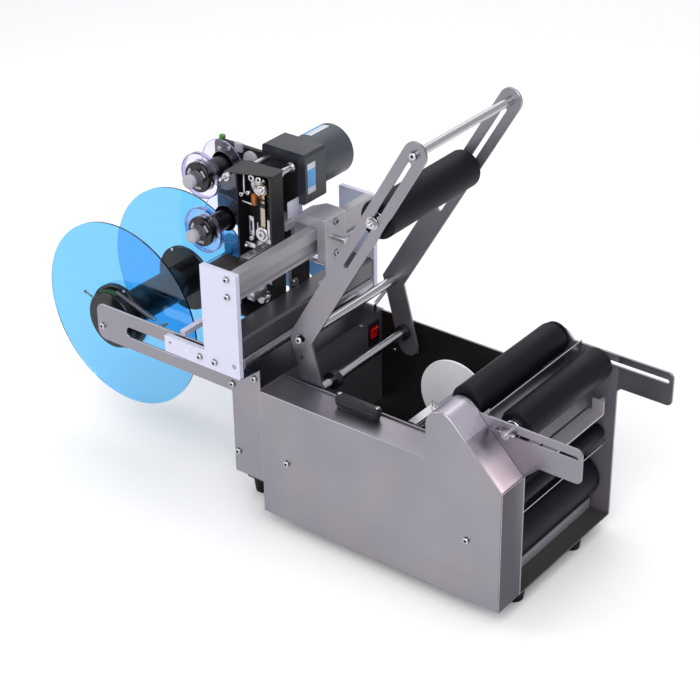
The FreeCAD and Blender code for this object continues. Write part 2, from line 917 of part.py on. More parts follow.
def belt_loop(extra):
    """Closed wire round the three pulleys, a distance outside their rims."""
    wheels = [
        (drive_motor_x, drive_motor_z, motor_pulley_radius + extra),
        (drive_x, drive_z, driven_pulley_radius + extra),
        (winder_x, winder_z, driven_pulley_radius + extra),
    ]
    spans = []
    for index, (x0, z0, r0) in enumerate(wheels):
        x1, z1, r1 = wheels[(index + 1) % len(wheels)]
        run = math.hypot(x1 - x0, z1 - z0)
        heading = math.atan2(z1 - z0, x1 - x0)
        normal = heading - math.acos((r0 - r1) / run)
        spans.append(((x0 + r0 * math.cos(normal), z0 + r0 * math.sin(normal)),
                      (x1 + r1 * math.cos(normal), z1 + r1 * math.sin(normal)), normal))
    edges = []
    for index, (start, end, normal) in enumerate(spans):
        following = spans[(index + 1) % len(spans)]
        x, z, radius = wheels[(index + 1) % len(wheels)]
        turn = (following[2] - normal) % (2 * math.pi)
        middle = normal + turn / 2
        edges.append(Part.makeLine(V(start[0], 0, start[1]), V(end[0], 0, end[1])))
        crest = V(x + radius * math.cos(middle), 0, z + radius * math.sin(middle))
        edges.append(Part.Arc(V(end[0], 0, end[1]), crest,
                              V(following[0][0], 0, following[0][1])).toShape())
    return Part.Wire(edges)


def drive_belt():
    start = V(0, belt_y + rest_gap, 0)
    width = V(0, belt_width - 2 * rest_gap, 0)
    outer = Part.Face(belt_loop(rest_gap + belt_sheet))
    inner = Part.Face(belt_loop(rest_gap))
    outer.translate(start)
    inner.translate(start)
    return outer.extrude(width).cut(inner.extrude(width))


def press_arm(y0):
    """Bent flat arm: straight upper part with the slot, leaning foot with the pivot."""
    half = arm_width / 2
    centre = [(arm_top_x, arm_top_z), (arm_bend_x, arm_bend_z), (arm_tail_x, arm_tail_z)]
    tail_run = math.hypot(arm_tail_x - arm_bend_x, arm_tail_z - arm_bend_z)
    tail_x = (arm_tail_x - arm_bend_x) / tail_run
    tail_z = (arm_tail_z - arm_bend_z) / tail_run
    ends = [
        (arm_top_x - arm_down.x * half, arm_top_z - arm_down.z * half),
        centre[1],
        (arm_tail_x + tail_x * half, arm_tail_z + tail_z * half),
    ]
    one_side = offset_path(ends, half)
    other_side = offset_path(ends, -half)
    corners = [
        (one_side[0][0], one_side[0][1], half),
        (one_side[1][0], one_side[1][1], 0),
        (one_side[2][0], one_side[2][1], half),
        (other_side[2][0], other_side[2][1], half),
        (other_side[1][0], other_side[1][1], 0),
        (other_side[0][0], other_side[0][1], half),
    ]
    y1 = y0 + arm_sheet
    arm = plate(corners, y0, y1)
    slot_top = arm_top + arm_down * arm_slot_start
    slot_foot = arm_top + arm_down * arm_slot_end
    slot = capsule((slot_top.x, slot_top.z), (slot_foot.x, slot_foot.z), arm_slot_width, y0, y1)
    pivot = rod_y(pivot_x, pivot_z, pivot_radius + running_gap, y0, y1)
    tie = rod_y(arm_bend_x, arm_bend_z, tie_rod_radius, y0, y1)
    grip = rod_y(arm_top_x, arm_top_z, handle_bar_radius, y0, y1)
    return arm.cut([slot, pivot, tie, grip])


def tie_rod():
    return rod_y(arm_bend_x, arm_bend_z, tie_rod_radius, near_arm_start, far_arm_end + tie_rod_tail)


def handle_bar():
    return rod_y(arm_top_x, arm_top_z, handle_bar_radius, near_arm_start - bar_overhang,
                 far_arm_end + bar_overhang)


def press_span():
    return (near_arm_start + arm_sheet + press_roller_gap, far_arm_end - arm_sheet - press_roller_gap)


def press_roller():
    y0, y1 = press_span()
    sleeve = turned(press_axis.x, press_axis.z, [(y0, press_roller_radius), (y1, 0)], roller_edge)
    return sleeve.cut(rod_y(press_axis.x, press_axis.z, press_roller_core + running_gap, y0, y1))


def press_roller_shaft():
    stud = arm_slot_width / 2 - running_gap
    near_nut = near_arm_start - rest_gap
    far_nut = far_arm_end + rest_gap
    steps = [
        (near_nut - nut_height, stud),
        (near_arm_start + arm_sheet + rest_gap, press_roller_core),
        (far_arm_end - arm_sheet - rest_gap, stud),
        (far_nut + nut_height, 0),
    ]
    shaft = turned(press_axis.x, press_axis.z, steps)
    nuts = [
        hex_nut(press_axis.x, press_axis.z, nut_flats, near_nut - nut_height, near_nut),
        hex_nut(press_axis.x, press_axis.z, nut_flats, far_nut, far_nut + nut_height),
    ]
    return joined([shaft] + nuts)


def arm_pivot_shaft():
    return rod_y(pivot_x, pivot_z, pivot_radius, cover_width, far_outer)


def collar(radius, y0, length):
    ring = turned(pivot_x, pivot_z, [(y0, radius), (y0 + length, 0)], collar_edge)
    return ring.cut(rod_y(pivot_x, pivot_z, pivot_radius, y0, y0 + length))


def shaft_collars():
    near_start = near_arm_start + arm_sheet + rest_gap
    far_start = far_arm_end - arm_sheet - rest_gap - collar_length
    collars = [
        collar(collar_radius, near_start, collar_length),
        collar(wide_collar_radius, wide_collar_y, wide_collar_length),
        collar(collar_radius, far_start, collar_length),
    ]
    return Part.makeCompound(collars)


def return_spring():
    y = spring_y()
    start = V(arm_bend_x, y, arm_bend_z)
    lug_top = box_top + spring_lug_height
    lean = (arm_bend_x + housing_length + spring_lug_inset) / (arm_bend_z - lug_top)
    end = V(-housing_length - spring_lug_inset, y, lug_top + rest_gap + spring_lug_radius * lean)
    along = (end - start).normalize()
    inset = tie_rod_radius + rest_gap
    length = (end - start).Length - inset
    return Part.makeCylinder(spring_radius, length, start + along * inset, along)


def reel_shaft():
    return rod_y(reel_x, reel_z, reel_shaft_radius, 0, far_arm_outer)


def reel_core():
    flange_y = near_disc_y - near_flange_length
    drum_y = flange_y - brake_drum_length
    steps = [
        (drum_y, brake_drum_radius),
        (flange_y, near_flange_radius),
        (near_disc_y, reel_seat_radius),
        (near_disc_y + reel_disc_sheet, reel_core_radius),
        (far_disc_y - far_flange_length, far_flange_radius),
        (far_disc_y, reel_seat_radius),
        (far_disc_y + reel_disc_sheet, reel_end_hub_radius),
        (far_disc_y + reel_disc_sheet + reel_end_hub_length, 0),
    ]
    core = turned(reel_x, reel_z, steps, flange_edge)
    return core.cut(rod_y(reel_x, reel_z, reel_shaft_radius + running_gap, drum_y, steps[-1][0]))


def reel_discs():
    discs = []
    for y in (near_disc_y, far_disc_y):
        disc = rod_y(reel_x, reel_z, reel_disc_radius, y, y + reel_disc_sheet)
        discs.append(disc.cut(rod_y(reel_x, reel_z, reel_seat_radius, y, y + reel_disc_sheet)))
    return Part.makeCompound(discs)


def strap_points():
    inner = brake_drum_radius + rest_gap
    return inner, inner + strap_sheet


def brake_strap():
    inner, outer = strap_points()
    y0 = near_disc_y - near_flange_length - brake_drum_length + strap_inset
    y1 = y0 + strap_width
    section = Part.makePolygon([
        V(reel_x + inner, y0, reel_z),
        V(reel_x + outer, y0, reel_z),
        V(reel_x + outer, y1, reel_z),
        V(reel_x + inner, y1, reel_z),
        V(reel_x + inner, y0, reel_z),
    ])
    strap = Part.Face(section).revolve(V(reel_x, 0, reel_z), V(0, -1, 0), strap_sweep)
    strap.rotate(V(reel_x, 0, reel_z), V(0, -1, 0), strap_end_angle)
    return strap


def brake_spring():
    outer = strap_points()[1]
    angle = math.radians(brake_spring_angle)
    y = near_disc_y - near_flange_length - brake_drum_length + strap_inset + strap_width / 2
    reach = outer + brake_spring_radius + rest_gap
    start = V(reel_x + reach * math.cos(angle), y, reel_z + reach * math.sin(angle))
    stud_end = V(brake_spring_x, reel_arm_sheet + stud_length / 2, brake_spring_z)
    along = (stud_end - start).normalize()
    lean = abs(along.y)
    end = stud_end - along * (stud_radius + rest_gap + brake_spring_radius * lean)
    return Part.makeCylinder(brake_spring_radius, (end - start).Length, start, along)


def head_corners():
    r = head_corner
    return [
        (-head_tail_rear, head_bottom, r),
        (-head_front, head_bottom, r),
        (-head_front, head_top, r),
        (-head_leg_rear, head_top, r),
        (-head_leg_rear, head_tail_top, r),
        (-head_tail_rear, head_tail_top, r),
    ]


def head_plate(y0, y1):
    tube_seat = rod_y(tube_x, tube_z, tube_journal + running_gap, y0, y1)
    spare_hole = rod_y(-head_tail_rear + spare_hole_inset, head_tail_top - spare_hole_inset,
                       spare_hole_radius, y0, y1)
    return plate(head_corners(), y0, y1).cut([tube_seat, spare_hole])


def front_rail():
    front = -head_front
    rear = front - rail_depth
    bottom = head_top - rail_height
    corners = [
        (rear, bottom, 0),
        (front - rail_groove, bottom, 0),
        (front - rail_groove, bottom + rail_lower_lip, 0),
        (front - rail_front_recess, bottom + rail_lower_lip, 0),
        (front - rail_front_recess, head_top - rail_upper_lip, 0),
        (front, head_top - rail_upper_lip, 0),
        (front, head_top, rail_edge),
        (rear, head_top, rail_edge),
    ]
    return plate(corners, near_head_inner, far_head_inner)


def lower_rail():
    rear = -lower_rail_front - lower_rail_depth
    path = [
        (-lower_rail_front, lower_rail_top - lower_rail_drop),
        (-lower_rail_front, lower_rail_top),
        (rear, lower_rail_top),
    ]
    return bent_sheet(path, lower_rail_sheet, near_head_inner, far_head_inner)


def roller_tube():
    steps = [
        (near_head_outer, tube_journal),
        (near_head_inner + tube_end_gap, tube_radius),
        (far_head_inner - tube_end_gap, tube_journal),
        (far_head_outer, 0),
    ]
    return turned(tube_x, tube_z, steps, tube_edge)


def rear_cross_bar():
    front = -cross_bar_front
    return block(front - cross_bar_width, front, 0, far_arm_outer, reel_arm_top,
                 reel_arm_top + cross_bar_height)


def head_spacers():
    spacers = []
    for place in spacer_places:
        spacers.append(rod_y(-place, spacer_height, spacer_radius, near_head_inner, 0))
        spacers.append(rod_y(-place, spacer_height, spacer_radius, far_arm_outer, far_head_inner))
    return Part.makeCompound(spacers)


def machine_screws():
    screws = []
    for seat_y, side in ((near_head_outer, -1), (far_head_outer, 1)):
        for place in spacer_places:
            screws.append(cap_screw(-place, spacer_height, seat_y, side))
        for height in rail_screw_heights:
            screws.append(cap_screw(-head_front - rail_screw_back, height, seat_y, side))
    for back, z in side_screw_places:
        screws.append(cap_screw(-back, z, 0, -1))
    screws.append(cap_screw(reel_x, reel_z, 0, -1))
    screws.append(cap_screw(reel_x, reel_z, far_arm_outer, 1))
    for back, z in inner_screw_places:
        screws.append(cap_screw(-back, z, far_inner, -1))
    stud_end = reel_arm_sheet + stud_length
    screws.append(rod_y(brake_spring_x, brake_spring_z, stud_radius, reel_arm_sheet, stud_end))
    return Part.makeCompound(screws)


def clamp_block():
    gap = slide_gap
    front = -head_front + gap
    rear = -head_front - rail_depth - gap
    top = head_top + gap + clamp_height
    slope_foot = top - clamp_slope_drop
    corners = [
        (rear - clamp_rear_wall, head_top - clamp_rear_drop, 0),
        (rear, head_top - clamp_rear_drop, 0),
        (rear, head_top + gap, 0),
        (front, head_top + gap, 0),
        (front, head_top - rail_height - clamp_front_drop, 0),
        (front + clamp_front_wall, head_top - rail_height - clamp_front_drop, 0),
        (front + clamp_front_wall, top, rail_edge),
        (rear + clamp_slope_run, top, 0),
        (rear - clamp_rear_wall, slope_foot, 0),
    ]
    jaw = plate(corners, clamp_jaw_near, clamp_jaw_near + clamp_jaw_width)
    arm = block(-clamp_arm_rear, rear, coder_back, back_plate_start, slope_foot - clamp_arm_height,
                slope_foot)
    foot_top = head_top - rail_height - clamp_front_drop
    face = front + clamp_front_wall
    shelf_z = foot_top - bracket_drop
    shelf_end = bracket_near + bracket_width
    web = block(face - bracket_sheet, face, clamp_jaw_near, shelf_end, shelf_z, foot_top)
    shelf = block(face - bracket_sheet, face + bracket_reach, bracket_near, shelf_end,
                  shelf_z - bracket_sheet, shelf_z)
    hole_start = face - lock_screw_bite
    holes = [rod_x(lock_screw_y, lock_screw_z, lock_screw_radius + running_gap, hole_start, face)]
    for z in (top - clamp_hole_inset, foot_top + clamp_hole_inset):
        holes.append(rod_x(clamp_hole_y, z, clamp_hole_radius, hole_start, face))
    return joined([jaw, arm, web, shelf]).cut(holes)


def lock_screw():
    face = -head_front + slide_gap + clamp_front_wall
    shank = rod_x(lock_screw_y, lock_screw_z, lock_screw_radius, face - lock_screw_bite + rest_gap,
                  face + lock_screw_radius)
    knob = Part.makeCone(lock_knob_neck, lock_knob_radius, lock_knob_length,
                         V(face + rest_gap, lock_screw_y, lock_screw_z), V(1, 0, 0))
    return joined([shank, knob])


def coder_body():
    front = -coder_front
    rear = -coder_rear
    corners = [
        (rear, coder_bottom, 0),
        (front, coder_bottom, coder_foot_corner),
        (front, coder_top, coder_top_corner),
        (rear, coder_top, coder_top_corner),
    ]
    shell = plate(corners, carriage_near_y, coder_back)
    pocket = block(rear + coder_wall, front - coder_wall, carriage_near_y, coder_back - coder_wall,
                   coder_bottom, coder_top - coder_wall)
    shaft_hole = rod_y(coder_motor_x, crank_z, crank_shaft_radius + crank_hole_play, coder_back - coder_wall,
                       coder_back)
    platen = block(rear, front, carriage_near_y - platen_reach, coder_back - coder_wall, coder_bottom,
                   coder_bottom + platen_sheet)
    return joined([shell.cut([pocket, shaft_hole]), platen])


def coder_back_plate():
    front = -head_front - rail_depth - slide_gap - clamp_rear_wall
    corners = [
        (front - back_plate_leg, back_plate_foot, coder_foot_corner),
        (front, back_plate_foot, coder_foot_corner),
        (front, coder_top, coder_foot_corner),
        (-back_plate_rear, coder_top, back_plate_corner),
        (-back_plate_rear, back_plate_bottom, back_plate_corner),
        (front - back_plate_leg, back_plate_bottom, coder_foot_corner),
    ]
    wall = plate(corners, back_plate_start, back_plate_end)
    flange = block(front - foot_flange_sheet, front, foot_flange_start,
                   foot_flange_start + foot_flange_width, back_plate_foot,
                   back_plate_foot + foot_flange_height)
    cuts = [rod_y(coder_motor_x, crank_z, crank_shaft_radius + crank_hole_play, back_plate_start,
                  back_plate_end)]
    for z in ribbon_heights:
        cuts.append(rod_y(ribbon_x, z, ribbon_spindle_radius + running_gap, back_plate_start,
                          back_plate_end))
    return joined([wall, flange]).cut(cuts)


def coder_posts():
    inset = coder_wall + post_radius
    front = -coder_front - inset
    rear = -coder_rear + inset
    places = [
        (front, coder_top - inset),
        (rear, coder_top - inset),
        (front, back_plate_bottom + inset),
        (rear, back_plate_bottom + inset),
    ]
    posts = [rod_y(x, z, post_radius, coder_back, back_plate_start) for x, z in places]
    return Part.makeCompound(posts)


def coder_gearbox():
    half = gearbox_size / 2
    r = gearbox_corner
    x = coder_motor_x
    z = coder_motor_z
    corners = [
        (x - half, z - half, r),
        (x + half, z - half, r),
        (x + half, z + half, r),
        (x - half, z + half, r),
    ]
    case = plate(corners, back_plate_end, gearbox_end)
    bore = rod_y(coder_motor_x, crank_z, crank_shaft_radius + running_gap, back_plate_end,
                 back_plate_end + gearbox_length / 3)
    return case.cut(bore)


def coder_motor():
    steps = [(gearbox_end, coder_motor_radius), (gearbox_end + coder_motor_length, 0)]
    return turned(coder_motor_x, coder_motor_z, steps, coder_motor_edge)


def crank_face():
    return coder_back - coder_wall - crank_wall_gap


def rod_start():
    return crank_face() - rest_gap - rod_sheet


def coder_crank():
    face = crank_face()
    pin_x = coder_motor_x + crank_throw
    disc = rod_y(coder_motor_x, crank_z, crank_disc_radius, face, face + crank_disc_sheet)
    shaft = rod_y(coder_motor_x, crank_z, crank_shaft_radius, face, back_plate_end + gearbox_length / 4)
    pin = rod_y(pin_x, crank_z, crank_pin_radius, rod_start() - pin_end, face)
    return joined([disc, shaft, pin])


def connecting_rod():
    x = coder_motor_x + crank_throw
    low_z = crank_z - rod_length
    y0 = rod_start()
    y1 = y0 + rod_sheet
    shank = block(x - rod_shank / 2, x + rod_shank / 2, y0, y1, low_z, crank_z)
    eyes = [rod_y(x, crank_z, rod_eye_radius, y0, y1), rod_y(x, low_z, rod_eye_radius, y0, y1)]
    bores = [
        rod_y(x, crank_z, crank_pin_radius + running_gap, y0, y1),
        rod_y(x, low_z, head_pin_radius + head_pin_play, y0, y1),
    ]
    return joined([shank] + eyes).cut(bores)


def print_head():
    pin_x = coder_motor_x + crank_throw - head_pin_shift
    pin_z = crank_z - rod_length
    top = pin_z + head_block_above
    face = crank_face()
    half = head_block_width / 2
    half_stem = head_stem_width / 2
    guide = block(pin_x - half, pin_x + half_stem, face, face + head_block_depth,
                  top - head_block_height, top)
    stem = block(pin_x - half_stem, pin_x + half_stem, face + head_stem_inset,
                 face + head_block_depth - head_stem_inset, head_stem_bottom, top)
    pin = rod_y(pin_x, pin_z, head_pin_radius, rod_start() - pin_end, face)
    return joined([guide, stem, pin])


def ribbon_reel(z):
    neck_y = ribbon_disc_y - ribbon_knob_neck
    second = ribbon_disc_y + ribbon_span - ribbon_disc_sheet
    steps = [
        (neck_y - ribbon_knob_length, ribbon_knob_radius),
        (neck_y, ribbon_hub_radius),
        (ribbon_disc_y, ribbon_near_radius),
        (ribbon_disc_y + ribbon_disc_sheet, ribbon_core_radius),
        (second, ribbon_far_radius),
        (second + ribbon_disc_sheet, ribbon_spindle_radius),
        (back_plate_end, 0),
    ]
    return turned(ribbon_x, z, steps)


SUBPARTS = {
    "near_cover": near_cover,
    "near_side_plate": near_side_plate,
    "far_side_plate": far_side_plate,
    "base_tray": base_tray,
    "control_box": control_box,
    "power_inlet": power_inlet,
    "power_rocker": power_rocker,
    "rubber_feet": rubber_feet,
    "machine_screws": machine_screws,
    "ledge_handle": ledge_handle,
    "near_reel_arm": near_reel_arm,
    "far_reel_arm": far_reel_arm,
    "peel_plate": peel_plate,
    "sensor_bar": sensor_bar,
    "roller_a": roller_a,
    "roller_b": roller_b,
    "roller_b_shaft": roller_b_shaft,
    "near_wing_nut": lambda: wing_nut(cover_width, -1),
    "far_wing_nut": lambda: wing_nut(far_outer, 1),
    "guide_roller": guide_roller,
    "drive_roller": drive_roller,
    "drive_shaft": drive_shaft,
    "winder_shaft": winder_shaft,
    "winder_disc": winder_disc,
    "drive_motor": drive_motor,
    "motor_pulley": motor_pulley,
    "drive_belt": drive_belt,
    "near_press_arm": lambda: press_arm(near_arm_start),
    "far_press_arm": lambda: press_arm(far_arm_end - arm_sheet),
    "tie_rod": tie_rod,
    "handle_bar": handle_bar,
    "press_roller": press_roller,
    "press_roller_shaft": press_roller_shaft,
    "arm_pivot_shaft": arm_pivot_shaft,
    "shaft_collars": shaft_collars,
    "return_spring": return_spring,
    "reel_shaft": reel_shaft,
    "reel_core": reel_core,
    "reel_discs": reel_discs,
    "brake_strap": brake_strap,
    "brake_spring": brake_spring,
    "near_head_plate": lambda: head_plate(near_head_outer, near_head_inner),
    "far_head_plate": lambda: head_plate(far_head_inner, far_head_outer),
    "front_rail": front_rail,
    "lower_rail": lower_rail,
    "roller_tube": roller_tube,
    "rear_cross_bar": rear_cross_bar,
    "head_spacers": head_spacers,
    "clamp_block": clamp_block,
    "lock_screw": lock_screw,
    "coder_body": coder_body,
    "coder_back_plate": coder_back_plate,
    "coder_posts": coder_posts,
    "coder_gearbox": coder_gearbox,
    "coder_motor": coder_motor,
    "coder_crank": coder_crank,
    "connecting_rod": connecting_rod,
    "print_head": print_head,
    "upper_ribbon_reel": lambda: ribbon_reel(ribbon_heights[0]),
    "lower_ribbon_reel": lambda: ribbon_reel(ribbon_heights[1]),
}

os.makedirs("parts", exist_ok=True)
for name, build in SUBPARTS.items():
    shape = build()
    shape.translate(SHIFT)
    shape.exportStep("parts/" + name + ".step")
    if not shape.isValid():
        print("invalid shape:", name)
print("subparts:", len(SUBPARTS), "shift:", SHIFT)
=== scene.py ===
"""Bench labeling machine: finishes, fine parts and studio stage round the fixed CAD frame."""

import json
import math

import bmesh
import bpy
from mathutils import Matrix, Vector


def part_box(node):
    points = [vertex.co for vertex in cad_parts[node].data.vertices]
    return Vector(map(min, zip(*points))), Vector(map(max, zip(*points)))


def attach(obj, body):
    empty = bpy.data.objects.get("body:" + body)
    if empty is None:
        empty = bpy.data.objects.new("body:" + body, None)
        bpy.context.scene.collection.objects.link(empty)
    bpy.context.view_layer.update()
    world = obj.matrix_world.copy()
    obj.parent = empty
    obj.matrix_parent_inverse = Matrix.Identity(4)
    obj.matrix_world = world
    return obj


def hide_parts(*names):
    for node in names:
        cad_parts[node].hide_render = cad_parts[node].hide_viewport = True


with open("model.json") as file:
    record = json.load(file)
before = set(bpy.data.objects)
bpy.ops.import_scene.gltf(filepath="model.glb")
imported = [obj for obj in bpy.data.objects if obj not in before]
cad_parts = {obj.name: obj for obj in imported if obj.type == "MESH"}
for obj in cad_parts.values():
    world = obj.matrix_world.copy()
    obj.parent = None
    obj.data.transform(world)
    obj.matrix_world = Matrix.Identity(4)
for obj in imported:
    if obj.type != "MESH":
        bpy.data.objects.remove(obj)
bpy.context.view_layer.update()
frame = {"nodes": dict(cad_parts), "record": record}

bl_info = {
    "name": "Bench labeling machine",
    "version": (1, 0, 0),
    "blender": (4, 5, 0),
    "location": "3D View > Sidebar > Labeler",
    "description": "Dresses the bench labeling machine and sets its studio stage",
    "category": "Object",
}

# The drawing's zero point in the row frame, in metres: front face, outer side, underside of the housing
DRAWING_ZERO = Vector((0.39165, -0.14825, 0.025))
MM = 0.001
ACROSS = Vector((0, 1, 0))
FORWARD = Vector((1, 0, 0))
UP = Vector((0, 0, 1))

# Axes of the turning parts that run across the machine, and two studs, as (x, z) of the drawing
ADJUSTABLE_AXIS = (-27, 255.5)
PRESS_AXIS = (-252.8, 496.9)
REEL_AXIS = (-720, 212)
BRAKE_STUD = (-607, 243)
RIBBON_AXES = (("upper", -585, 463.0), ("lower", -585, 376.0))

# Screw places as (x, z) of the drawing: head plates, machine's near side, inside of the far wall, press arm ends
HEAD_SCREWS = ((-511, 237), (-482.5, 237), (-452.5, 380), (-452.5, 352.5))
SIDE_SCREWS = ((-458, 88), (-367, 101), (-55, 100), (-422, 224), (-464, 201), REEL_AXIS)
INNER_SCREWS = ((-346, 157), (-388, 147))
ARM_SCREWS = ((-382, 276), (-185, 612.5))

# Radius and height of a cap screw's head
HEAD = (4.5, 4.0)


def place(x, y, z):
    """A point of the drawing, given in millimetres, in the row frame."""
    return DRAWING_ZERO + Vector((x, y, z)) * MM


def linear(colour):
    """Scene-linear colour of an sRGB hex value."""
    parts = [int(colour[i:i + 2], 16) / 255 for i in (1, 3, 5)]
    return tuple(p / 12.92 if p <= 0.04045 else ((p + 0.055) / 1.055) ** 2.4 for p in parts)


def colour_property(name, description, colour):
    """Panel colour with its sRGB hex value."""
    return bpy.props.FloatVectorProperty(name=name, description=description, subtype="COLOR",
                                         size=3, min=0, max=1, default=linear(colour))


def length_property(name, description, millimetres):
    """Panel length, given in millimetres."""
    return bpy.props.FloatProperty(name=name, description=description, subtype="DISTANCE",
                                   unit="LENGTH", min=0.0001, default=millimetres * MM)


class LabelerColours(bpy.types.PropertyGroup):
    """Colours of the machine's finishes."""
    steel: colour_property("Stainless sheet", "Brushed stainless housing and arms", "#a3a0a8")
    # Painted shade: the dark colour that the roller bay's inner faces take in place of their shade
    bay_shade: colour_property("Inner lining", "Dark lacquer inside the roller bay", "#1f1a1c")
    shaft: colour_property("Ground steel", "Shafts, nuts and screws", "#c4c2c6")
    anodised: colour_property("Anodised plate", "Pale head plates", "#cfcfe2")
    aluminium: colour_property("Mill aluminium", "Rails and clamp", "#a5a3aa")
    rubber: colour_property("Roller rubber", "Cushioned rollers", "#0b0914")
    blackened: colour_property("Blackened metal", "Coder frame, hubs and collars", "#1b1a1d")
    motor: colour_property("Motor enamel", "Gearmotor case", "#3b4049")
    disc: colour_property("Blue acrylic", "Label reel discs", "#74c9fa")
    ribbon: colour_property("Clear acrylic", "Ribbon reel discs", "#ece9fb")
    edge: colour_property("Violet edge", "Rims of the ribbon discs", "#c9c5ea")
    winder: colour_property("Winder disc", "Satin white disc of the winder", "#f4f6ff")
    handle: colour_property("Handle plastic", "Carrying handle", "#15111f")
    rocker: colour_property("Rocker", "Power rocker", "#e01c1c")
    resin: colour_property("Insulator", "Amber insulator of the print head", "#9a5214")
    band: colour_property("Band", "Plain band on the motor", "#4f9bd6")


class LabelerSizes(bpy.types.PropertyGroup):
    """Sizes of the fine parts."""
    socket: length_property("Hex socket", "Across the corners of a screw's hex socket", 5.0)
    spring_wire: length_property("Spring wire", "Wire of the coil springs", 0.9)
    spring_pitch: length_property("Spring pitch", "Distance between two coils", 2.0)
    rim: length_property("Ribbon rim", "Width of the rim on a ribbon disc", 1.0)
    dish: length_property("Ribbon dish", "Depth of the clear dish on a ribbon reel's near disc", 9.0)
    grain: length_property("Steel grain", "Width of a brushed streak, drawn coarse enough to show", 2.0)


def colours():
    return bpy.context.scene.labeler_colours


def sizes():
    return bpy.context.scene.labeler_sizes


# Materials

def add_node(material, kind, inputs=None, **settings):
    """Add a node; an input is given a value, or the socket that feeds it."""
    tree = material.node_tree
    made = tree.nodes.new(kind)
    for key, value in settings.items():
        setattr(made, key, value)
    for key, value in (inputs or {}).items():
        if isinstance(value, bpy.types.NodeSocket):
            tree.links.new(value, made.inputs[key])
        else:
            made.inputs[key].default_value = value
    return made


def shader(material):
    return material.node_tree.nodes["Principled BSDF"]


def set_shader(material, **values):
    """Set the shader's sockets, or link them when the value is a socket."""
    target = shader(material)
    for key, value in values.items():
        socket = target.inputs[key.replace("_", " ")]
        if isinstance(value, bpy.types.NodeSocket):
            material.node_tree.links.new(value, socket)
        else:
            socket.default_value = value


def new_finish(name):
    material = bpy.data.materials.new(name)
    material.use_nodes = True
    return material


def grain_noise(material, scale, detail=3.0, roughness=0.6):
    """Noise on object coordinates; scale is in repeats per metre along X, Y and Z."""
    where = add_node(material, "ShaderNodeTexCoord")
    turned = add_node(material, "ShaderNodeMapping", {"Vector": where.outputs["Object"], "Scale": scale})
    return add_node(material, "ShaderNodeTexNoise", {
        "Vector": turned.outputs["Vector"], "Scale": 1.0, "Detail": detail, "Roughness": roughness,
    }).outputs["Fac"]


def shade_between(material, factor, low, high):
    """Colour running from low to high with the factor; each may be a colour or a socket."""
    ends = [end if isinstance(end, bpy.types.NodeSocket) else (*end, 1) for end in (low, high)]
    made = add_node(material, "ShaderNodeMix", {0: factor, 6: ends[0], 7: ends[1]}, data_type="RGBA")
    return made.outputs[2]


def value_between(material, factor, low, high):
    made = add_node(material, "ShaderNodeMapRange", {
        "Value": factor, "From Min": 0.25, "From Max": 0.75, "To Min": low, "To Max": high,
    })
    return made.outputs["Result"]


def bump(material, height, distance_mm, strength=1.0):
    made = add_node(material, "ShaderNodeBump", {
        "Height": height, "Distance": distance_mm * MM, "Strength": strength,
    })
    return made.outputs["Normal"]


def tinted(colour, factor):
    return tuple(min(1.0, part * factor) for part in colour)


def brushed(name, colour, along, roughness, streak, metallic=1.0):
    """Brushed metal: streaks run along one axis, slow clouds under them, and a faint straw stain from welding."""
    material = new_finish(name)
    across = 1 / streak
    scale = tuple(5.0 if axis == along else across for axis in "XYZ")
    streaks = grain_noise(material, scale)
    cloud = grain_noise(material, (5.0, 5.0, 5.0), 2.0)
    stain = grain_noise(material, (9.0, 9.0, 9.0), 1.0)
    grey = shade_between(material, streaks, tinted(colour, 0.86), tinted(colour, 1.14))
    clouded = shade_between(material, cloud, tinted(colour, 0.62), grey)
    straw = (colour[0] * 1.0, colour[1] * 0.88, colour[2] * 0.74)
    amount = add_node(material, "ShaderNodeMapRange", {
        "Value": stain, "From Min": 0.52, "From Max": 0.8, "To Min": 0.0, "To Max": 0.35,
    })
    set_shader(
        material,
        Base_Color=shade_between(material, amount.outputs["Result"], clouded, straw),
        Metallic=metallic,
        Roughness=value_between(material, streaks, roughness * 0.85, roughness * 1.2),
        Normal=bump(material, streaks, 0.03, 0.35),
    )
    return material


def above(axis, start):
    """Zone limit: only past a place on the drawing's axis."""
    return axis, "GREATER_THAN", start


def below(axis, end):
    """Zone limit: only short of a place on the drawing's axis."""
    return axis, "LESS_THAN", end


def fading(axis, start, whole):
    """Zone limit: starts to show at one place on the drawing's axis and is whole at the other."""
    return axis, "FADE", start, whole


def tint_zone(finish, limits, shade, metallic=None):
    """Multiply a finish's colour by a shade inside the limits, and set how metallic it is there."""
    material = FINISHES[finish]
    where = add_node(material, "ShaderNodeTexCoord")
    axes = add_node(material, "ShaderNodeSeparateXYZ", {"Vector": where.outputs["Object"]})
    inside = 1.0
    for axis, test, *stops in limits:
        along = axes.outputs[axis]
        stops = [place(stop, stop, stop)["XYZ".index(axis)] for stop in stops]
        if test == "FADE":
            held = add_node(material, "ShaderNodeMapRange", {
                "Value": along, "From Min": stops[0], "From Max": stops[1],
            })
        else:
            held = add_node(material, "ShaderNodeMath", {0: along, 1: stops[0]}, operation=test)
        both = add_node(material, "ShaderNodeMath", {0: held.outputs[0], 1: inside}, operation="MULTIPLY")
        inside = both.outputs[0]
    target = shader(material)
    tone = target.inputs["Base Color"].links[0].from_socket
    mixed = add_node(material, "ShaderNodeMix", {0: inside, 6: tone, 7: (*shade, 1)}, data_type="RGBA",
                     blend_type="MULTIPLY")
    set_shader(material, Base_Color=mixed.outputs[2])
    if metallic is not None:
        socket = target.inputs["Metallic"]
        before = socket.links[0].from_socket if socket.links else socket.default_value
        blended = add_node(material, "ShaderNodeMapRange", {"Value": inside, "To Min": before, "To Max": metallic})
        set_shader(material, Metallic=blended.outputs["Result"])


